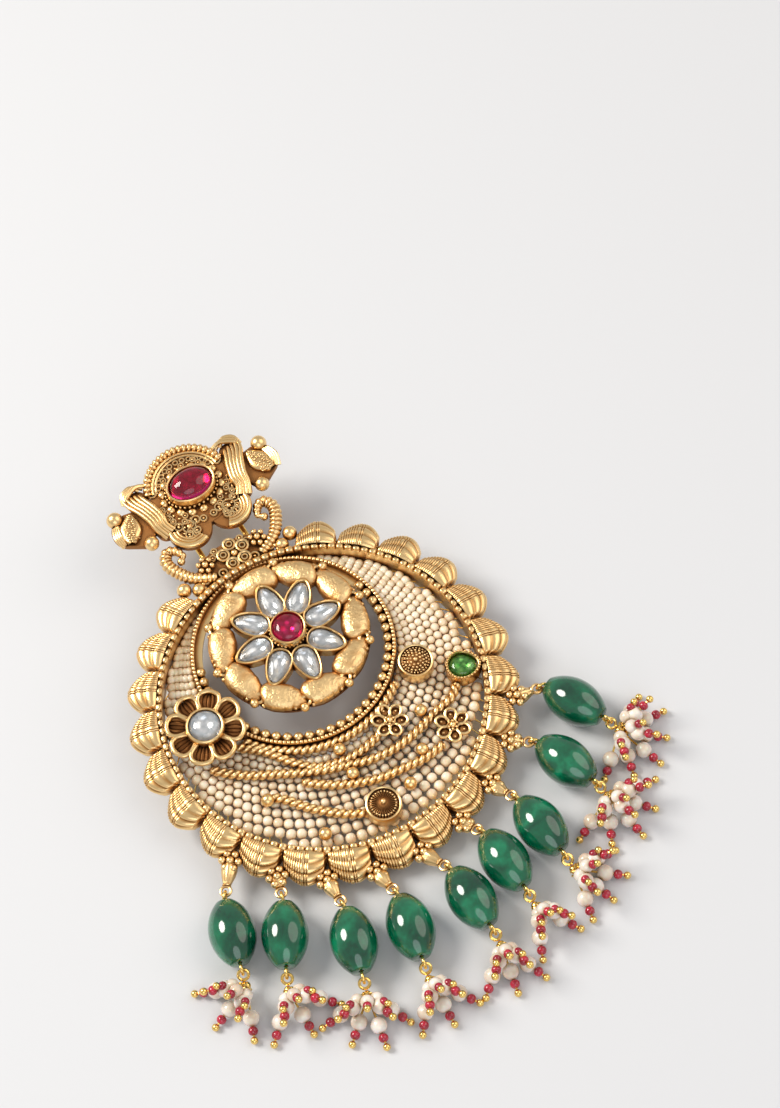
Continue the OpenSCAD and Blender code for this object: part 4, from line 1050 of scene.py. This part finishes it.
def cut_stone(heap, outline, half, deep, foot):
    """Crown in finish 0 and foil in finish 1, on an outline whose middle is at (0, 0)."""
    line, between = outline(0), outline(0.5)
    high = foot + GIRDLE + half * CROWN

    def level(points, share, z):
        return np.column_stack([points * share, np.full(len(points), z)])

    n = len(line)
    rings = [level(line, 1, foot), level(line, 1, foot + GIRDLE),
             level(between, 0.82, high - half * CROWN * 0.42),
             level(line, TABLE, high)]
    points = np.concatenate(rings)
    faces = [(i, (i + 1) % n, n + (i + 1) % n, n + i) for i in range(n)]
    for low in (1, 2):
        for i in range(n):
            a, b = low * n + i, low * n + (i + 1) % n
            c = (low + 1) * n + (i if low == 1 else (i + 1) % n)
            d = (low + 1) * n + ((i + 1) % n if low == 1 else (i + 2) % n)
            faces += [(a, b, c), (b, d, c)]
    faces.append(tuple(range(3 * n, 4 * n)))
    heap.add(points, faces)
    rings = [level(line, 0.995, foot - 0.005), level(between, 0.62, foot - deep * 0.62),
             level(line, 0.3, foot - deep)]
    points = np.concatenate(rings)
    faces = []
    for low in (0, 1):
        for i in range(n):
            a, b = low * n + i, low * n + (i + 1) % n
            c = (low + 1) * n + (i if low == 0 else (i + 1) % n)
            d = (low + 1) * n + ((i + 1) % n if low == 0 else (i + 2) % n)
            faces += [(a, c, b), (b, c, d)]
    faces.append(tuple(range(3 * n - 1, 2 * n - 1, -1)))
    heap.add(points, faces, 1)


def pear_line(half, tip, n):
    fine = drop_outline(half, tip, 0, n * 2)
    return lambda shift: fine[(0 if shift == 0 else 1)::2]


def round_stone_line(radius, n):
    return lambda shift: polar(radius, (np.arange(n) + shift) * 360 / n)


stones = Heap()
for k in range(8):
    one = Heap()
    cut_stone(one, pear_line(PEAR_W / 2, 4.05, 12), PEAR_W / 2, 0.65, PEAR_UP - 0.65)
    points = np.concatenate(one.points)
    flat = about(points[:, :2], 45 * k, polar(PEAR_RING_R, 45 * k))
    faces = one.faces
    for finish in (0, 1):
        chosen = [f for f, m in zip(faces, one.finishes) if m == finish]
        stones.add(np.column_stack([flat, points[:, 2]]), chosen, finish)
make_piece(stones, "pear_stones", "chand", ["pear_stone_%d" % (k + 1) for k in range(8)],
           [clear_glass, silver_foil], lambda p: lie_down(p + MEDALLION), smooth=False)
ruby = Heap()
cut_stone(ruby, round_stone_line(RUBY_R, 14), RUBY_R, 1.4, RUBY_UP - 0.45)
make_piece(ruby, "round_ruby", "chand", ["medallion_ruby"], [ruby_glass, ruby_foil],
           lambda p: lie_down(p + MEDALLION), smooth=False)
at = np.append(spot(FLOWER_AT, FLOWER_POST), COLLAR_TOP - 0.45)
clear = Heap()
cut_stone(clear, round_stone_line(2.65, 14), 2.65, 0.7, 0)
make_piece(clear, "flower_clear_stone", "chand", ["flower_stone"], [clear_glass, silver_foil],
           lambda p: lie_down(p + at), smooth=False)

# %% [markdown]
# ## The green pear
# It leans at the crescent's right edge in a bezel with a granulated rim. It is cut like the clear
# stones, from green glass over a green foil.

# %% Green pear
GREEN_TURN = 65
green_at = np.append(spot(GREEN_AT, 3.104), TOP_Z)


def green_line(grow, n=44):
    a = math.radians(GREEN_TURN)
    turned = np.array([[math.cos(a), math.sin(a)], [-math.sin(a), math.cos(a)]])
    return drop_outline(2.1, 2.604, grow, n) @ turned


green_setting = Heap()
band(green_setting, green_line, 0, 3.0)
rim = np.column_stack([green_line(0.36, 30), np.full(30, 3.0)])
green_setting.balls(rim, 0.24, 5, 8)
make_piece(green_setting, "green_stone_bezel", "chand", ["ornament_spray"],
           [bezel_gold], lambda p: lie_down(p + green_at))
green = Heap()
cut_stone(green, lambda shift: green_line(0, 24)[(0 if shift == 0 else 1)::2], 2.1, 0.6, 2.18)
make_piece(green, "green_pear_stone", "chand", ["green_stone"], [green_glass, green_foil],
           lambda p: lie_down(p + green_at), smooth=False)

# %% [markdown]
# ## Green glass beads
# The drops are pressed glass beads dyed emerald, with lighter clouds inside and a polished skin.
# Light passes a short way in and lights the far side, which a little scattering gives; the
# ramp's lighter tone is the clouds, placed at random. Each bead is turned from the arc of its profile.

# %% Green beads
emerald, tree = new_material("emerald_glass_bead")
place = add_node(tree, "TexCoord")
clouds = add_node(tree, "TexNoise", {"Scale": 1 / (4.5 * MM), "Detail": 2, "Distortion": 0.6},
                  Vector=place.outputs["Object"])
veins = add_node(tree, "TexNoise", {"Scale": 1 / (0.8 * MM), "Detail": 2}, Vector=place.outputs["Object"])
mixed = add_node(tree, "Math", {"operation": "MULTIPLY_ADD"}, _0=veins.outputs[0])
mixed.inputs[1].default_value = 0.14
tree.links.new(clouds.outputs[0], mixed.inputs[2])
colour = ramp(tree, mixed.outputs[0], [(0.38, "#003d28"), (0.58, "#005a3b"), (0.82, "#108058")])
finish_with(tree, add_node(tree, "BsdfPrincipled", {
    "Roughness": 0.10, "IOR": 1.52, "Coat Weight": 0.7, "Coat Roughness": 0.03, "Subsurface Weight": 0.25,
    "Subsurface Scale": 1.2 * MM}, Base_Color=colour))
beads = Heap()
side = (BEAD_D - BEAD_END_D) / 2
arc_r = (side ** 2 + (BEAD_L / 2) ** 2) / (2 * side)
profile = [(0.40, -BEAD_L / 2 + 0.5), (0.40, -BEAD_L / 2 + 0.02)]
for y in np.sin(np.linspace(-math.pi / 2, math.pi / 2, 25)) * BEAD_L / 2:
    profile.append((BEAD_D / 2 - arc_r + math.sqrt(arc_r ** 2 - y * y), y))
profile += [(0.40, BEAD_L / 2 - 0.02), (0.40, BEAD_L / 2 - 0.5)]
for d in drops:
    beads.turned(profile, 56, d["bead"], frame=frame_along(d["way"]))
make_piece(beads, "emerald_beads", "chand", ["green_bead_%d" % (k + 1) for k in range(9)],
           [emerald], set_down, sharp=60)

# %% [markdown]
# ## Pearl tassels
# Each tassel is a bundle of head pins tied at one wire loop. A pin carries a small gold ball at
# its end, a red seed bead and a pearl. The pins fan out in two layers, the upper ones shorter,
# so the pearls rest on each other as they do on a table.

# %% Tassels
PEARL_R, SEED_R, TIP_R, HEAD_R = 1.35, 0.80, 0.625, 1.4
red_seed, tree = new_material("red_seed_bead")
place = add_node(tree, "TexCoord")
drift = add_node(tree, "TexNoise", {"Scale": 1 / (1.2 * MM), "Detail": 1}, Vector=place.outputs["Object"])
finish_with(tree, add_node(tree, "BsdfPrincipled", {
    "Roughness": 0.16, "IOR": 1.52, "Coat Weight": 0.5, "Coat Roughness": 0.05, "Subsurface Weight": 0.2,
    "Subsurface Scale": 0.5 * MM},
    Base_Color=ramp(tree, drift.outputs[0], [(0.35, "#8e1126"), (0.65, "#bb1f3c")])))
for k, d in enumerate(drops):
    tassel = Heap()
    spread, head = d["spread"], d["head"]
    low = int(spread / 16.5) + 1
    high = max(2, int(spread / 35) + 1)
    # a few short pins stand up round the head and show their ends
    for turn in (-0.75, 0.1, 0.9):
        way = level_way(d["fan"] + spread * turn) * 2.1 + [0, 0, 1.9 + 0.5 * math.cos(3 * turn)]
        far, ahead = np.linalg.norm(way), unit(way)
        tassel.balls([head + way], 1.15, 12, 18, finish=0)
        tassel.balls([head + ahead * (far + 1.75)], 0.75, 8, 12, finish=1)
        tassel.balls([head + ahead * (far + 2.85)], 0.6, 9, 14, finish=2)
        tassel.wire([head, head + way, head + ahead * (far + 2.8)], 0.19, 6, finish=2)
    for j in range(low + high):
        over = j >= low
        angle = d["fan"] + (max(spread * 0.7, 26) * (2 * (j - low) / (high - 1) - 1) if over
                            else spread * (2 * j / (low - 1) - 1))
        out = 5.0 * (0.66 if over else 1 if j % 2 == 0 else 0.86)
        way = level_way(angle) * out + [0, 0, PEARL_R - head[2] + (2.592 if over else 0.05)]
        far, ahead = np.linalg.norm(way), unit(way)
        pearl = [(PEARL_R * math.sin(a), far - PEARL_R * math.cos(a))
                 for a in np.linspace(0.12, math.pi - 0.12, 15)]
        tassel.turned(pearl, 24, head, finish=0, frame=frame_along(ahead))
        seed = [(SEED_R * math.sin(a) ** 0.8, far + 2.07 - 0.72 * math.cos(a))
                for a in np.linspace(0.25, math.pi - 0.25, 9)]
        tassel.turned(seed, 16, head, finish=1, frame=frame_along(ahead))
        tassel.balls([head + ahead * (far + 3.575)], TIP_R, 9, 14, finish=2)
        tassel.wire([head + ahead * 0.4, head + ahead * far, head + ahead * (far + 3.4)], 0.19, 6, finish=2)
        # each pin ends in a small coil at the head
        aside = unit(np.cross(ahead, [0, 0, 1]))
        coil = [head + ahead * (0.35 + 0.10 * t)
                + 0.62 * (math.cos(t) * aside + math.sin(t) * np.cross(aside, ahead))
                for t in np.linspace(0, 11, 40)]
        tassel.wire(coil, 0.17, 6, finish=2)
    tassel.balls([head], 0.72, 8, 14, finish=2)
    side = unit(np.cross(d["head_way"], [0, 0, 1]))
    tassel.ring(d["head_loop"], LOOP_R, WIRE_D / 2, 24, 8, finish=2, axis=np.cross(side, d["head_way"]))
    make_piece(tassel, "pearl_tassel_%d" % (k + 1), "chand", ["tassel_%d" % (k + 1)],
               [round_pearl, red_seed, bright_gold], set_down)

# %% [markdown]
# ## The stud
# The stud is one casting: a plate with a milled arch over an oval ruby, sheaves of ridges that
# sweep down at both sides, fans with a stippled leaf and a ball, and two lobes below. The plate's
# outline is a union of rounded shapes. `around_circles` gives the line round a few circles, as a
# band pulled tight round pegs.

# %% Stud plate
STUD = np.array([0, 45.3, 3.0])
PLATE_H = 1.3
OVAL_X, OVAL_Y = 3.9, 2.85
stud = Heap()


def around_circles(circles, n=60):
    points = []
    for t in np.arange(n) * 2 * math.pi / n:
        way = np.array([math.cos(t), math.sin(t)])
        x, y, r = max(circles, key=lambda c: c[0] * way[0] + c[1] * way[1] + c[2])
        points.append([x + r * way[0], y + r * way[1]])
    return np.array(points)


def slab(heap, outline, foot, top, finish=0):
    middle = outline.mean(0)
    rings = [(1, foot), (1, top - 0.12), (0.985, top)]
    heap.sheet([np.column_stack([middle + (outline - middle) * share, np.full(len(outline), z)])
                for share, z in rings], wrap_v=True, finish=finish, caps=True)


discs = [[(0, 0, 7.4)], [(0, 1.2, 7.0)]]
for side in (-1, 1):
    discs += [[(side * 3.9, -6.3, 3.9)], [(side * 9.2, 3, 1.9), (side * 7.6, -4.6, 1.6)],
              [(side * 12.9, -1.2, 3.2), (side * 11.1, -4.4, 1.4), (side * 8.6, 0, 1.2)]]
for k, disc in enumerate(discs):
    slab(stud, around_circles(disc), 0.02 * k, PLATE_H - 0.02 * k, 1)


def arc_path(x, y, r, start, end, z, n=70):
    return [[x + r * math.cos(t), y + r * math.sin(t), z] for t in np.radians(np.linspace(start, end, n))]


def notched(path, radius, pitch, deep=0.25):
    length = travelled(path)
    return radius * (1 - deep * (0.5 + 0.5 * np.cos(2 * math.pi * length / pitch)) ** 2)


# milled arch over the ruby and two plain ones inside it
outer = arc_path(0, 1.1, 7.25, 12, 168, PLATE_H, 260)
stud.wire(outer, notched(outer, 0.82, 0.95, 0.34), 12)
stud.wire(arc_path(0, 1.1, 6.35, 12, 168, PLATE_H), 0.34, 8)
stud.wire(arc_path(0, 1.1, 5.75, 12, 168, PLATE_H), 0.26, 8)
for side in (-1, 1):
    start, end = (-118, 8) if side > 0 else (172, 298)
    for r, tube in ((3.45, 0.55), (2.75, 0.34), (2.2, 0.26)):
        stud.wire(arc_path(side * 3.9, -6.3, r, start, end, PLATE_H), tube, 10)
    # sheaf of ridges, from the shoulder down in an S
    for k in range(5):
        path = [[side * (11.5 - 0.74 * k), 4.4 - 0.2 * k], [side * (11.1 - 0.72 * k), 2.4],
                [side * (10.1 - 0.66 * k), 0.2],
                [side * (9.3 - 0.6 * k), -2.2], [side * (9.0 - 0.5 * k), -4.3 + 0.1 * k],
                [side * (8.2 - 0.5 * k), -6.3 + 0.25 * k]]
        path = smooth_path([[x, y, PLATE_H + 0.2 + 0.7 * math.sin(math.pi * i / 5) + 0.12 * (k % 2)]
                            for i, (x, y) in enumerate(path)], 8)
        stud.wire(path, 0.44 * (0.6 + 0.45 * np.sin(np.pi * np.linspace(0.06, 0.94, len(path)))), 10)
    # shoulder leaf over the ridges' top ends
    for j, lean in enumerate((0, 0.8, 1.6)):
        path = smooth_path([[side * (8.1 - lean), 4.6 + 0.1 * j, PLATE_H],
                            [side * (9.3 - lean * 0.6), 5.6 - 0.2 * j, PLATE_H + 0.6],
                            [side * (11.0 - lean * 0.3), 5.0 - 0.4 * j, PLATE_H + 0.5],
                            [side * 11.6, 3.4, PLATE_H]], 8)
        stud.wire(path, 0.42, 8)
    stud.balls([[side * 14.3, 1.7, PLATE_H]], 1.45, 12, 20)
    stud.balls([[side * 10.9, -5.6, PLATE_H]], 1.3, 12, 20)
    # stippled leaf of the fan, with a ribbed one outside it
    spine = smooth_path([[side * 13.9, -4.0, 0], [side * 13.2, -2.2, 0],
                         [side * 12.4, -0.6, 0], [side * 11.6, 0.9, 0]], 5)
    share = np.linspace(0, 1, len(spine))
    puffed(stud, spine, 1.9 * np.sin(np.pi * (0.08 + 0.86 * share)) + 0.1, 0.9, PLATE_H - 0.1)
    for i in range(110):
        t, across = random.uniform(0.06, 0.94), random.uniform(-1, 1)
        half = 1.75 * math.sin(math.pi * (0.08 + 0.86 * t)) * across
        at = spine[int(t * (len(spine) - 1))] + [side * 0.9 * half, 0.42 * half, 0]
        stud.balls([at + [0, 0, PLATE_H - 0.12 + 0.88 * (1 - across * across) ** 0.5]], 0.24, 4, 7)
    for j in range(4):
        path = smooth_path([[side * (15.4 - 0.35 * j), -3.9 + 0.2 * j, PLATE_H],
                            [side * (15.9 - 0.38 * j), -1.8, PLATE_H + 0.5],
                            [side * (15.3 - 0.3 * j), 0.2, PLATE_H + 0.2]], 8)
        stud.wire(path, 0.30, 8)
# petals and granules round the ruby
for k in range(16):
    a = math.radians(22.5 * k)
    stud.balls([[(OVAL_X + 1.45) * math.cos(a), (OVAL_Y + 1.45) * math.sin(a), PLATE_H - 0.05]],
               0.84, 8, 14, squash=0.8)
for k in range(34):
    a = 2 * math.pi * k / 34
    stud.balls([[(OVAL_X + 0.82) * math.cos(a), (OVAL_Y + 0.82) * math.sin(a), PLATE_H + 0.75]],
               0.27, 5, 8)
for k in range(11):
    a = math.radians(24 + 13.2 * k)
    at = np.array([5.35 * math.cos(a) * 1.0, 1.1 + 4.9 * math.sin(a), PLATE_H + 0.1])
    if abs(at[0]) < 5.2:
        stud.ring(at, 0.42, 0.17, 12, 6)
for side in (-1, 1):
    for x, y, r in ((3.9, -6.2, 1.15), (2.3, -5.6, 0.7), (5.5, -5.4, 0.7), (4.6, -7.6, 0.6), (3.0, -7.5, 0.6),
                    (6.3, -3.3, 0.75), (6.9, -1.5, 0.7), (6.4, 2.8, 0.75), (1.0, -6.1, 0.55), (5.6, 4.1, 0.5)):
        stud.ring(np.array([side * x, y, PLATE_H + 0.12]), r, 0.2, 18, 6)
        stud.balls([[side * x, y, PLATE_H + 0.05]], r * 0.42, 6, 9)
# filigree of little rings and granules fills the bare ground
for row in range(-9, 6):
    for column in range(-8, 9):
        x, y = 1.16 * (column + 0.5 * (row % 2)), 1.0 * row
        in_arch = math.hypot(x, y - 1.1) < 5.3 or (y < 0 and abs(x) < 7.2 and y > -4.2)
        in_lobe = math.hypot(abs(x) - 3.9, y + 6.3) < 1.9
        if (x / 5.9) ** 2 + (y / 4.9) ** 2 > 1 and (in_arch or in_lobe):
            if (row + column) % 2:
                stud.ring(np.array([x, y, PLATE_H + 0.14]), 0.46, 0.18, 14, 6)
            stud.balls([[x, y, PLATE_H + 0.08]], 0.24, 5, 8)
oval = np.linspace(0, 2 * math.pi, 64, endpoint=False)


def oval_line(grow):
    wide, tall = OVAL_X + grow * 1.3, OVAL_Y + grow * 1.3
    return np.stack([wide * np.cos(oval), tall * np.sin(oval)], 1)


band(stud, oval_line, PLATE_H - 0.1, PLATE_H + 2.6, inner_drop=1.1)
make_piece(stud, "cast_stud", "stud", ["stud_plate"], [antique_gold, hollow_gold],
           lambda p: lie_down(p + STUD))

# %% [markdown]
# ## The oval ruby
# A cabochon is ground to a smooth dome and has no facets. Light enters the dome, turns back from
# the foil and lights the far edge, so the deep red glows on the side away from the lamp.

# %% Oval ruby
cabochon = Heap()
STONE_FOOT = PLATE_H + 2.6 - 1.1 + 0.08
dome = []
for f in np.radians([0, 0, 6, 14, 24, 34, 46, 58, 70, 81, 88]):
    z = STONE_FOOT + (0 if not dome else 0.45 + 2.1 * math.sin(f))
    dome.append([[OVAL_X * 0.995 * math.cos(f) * math.cos(t),
                  OVAL_Y * 0.995 * math.cos(f) * math.sin(t), z] for t in oval])
cabochon.sheet(dome, wrap_v=True, caps=True)
foil_line = [[[x * s, y * s, STONE_FOOT - 0.02 - 0.5 * (1 - s)] for x, y in oval_line(-0.02)]
             for s in (1, 0.7, 0.3)]
cabochon.sheet(foil_line, wrap_v=True, finish=1, caps=True)
make_piece(cabochon, "oval_ruby", "stud", ["stud_ruby"], [ruby_glass, ruby_foil],
           lambda p: lie_down(p + STUD), sharp=70)

# %% [markdown]
# ## Wires, post and nut
# These pieces are already right as they come with the frame, so they only get their finishes:
# lacquered gold for the soldered hinge tube, polished gold for wire, post and nut.

# %% Finishes of the kept pieces
for node, finish in (("hinge_tube", antique_gold), ("bead_wires", bright_gold), ("ear_post", bright_gold),
                     ("bail_wire", bright_gold), ("push_nut", bright_gold)):
    for slot in frame["nodes"][node].material_slots:
        slot.material = finish
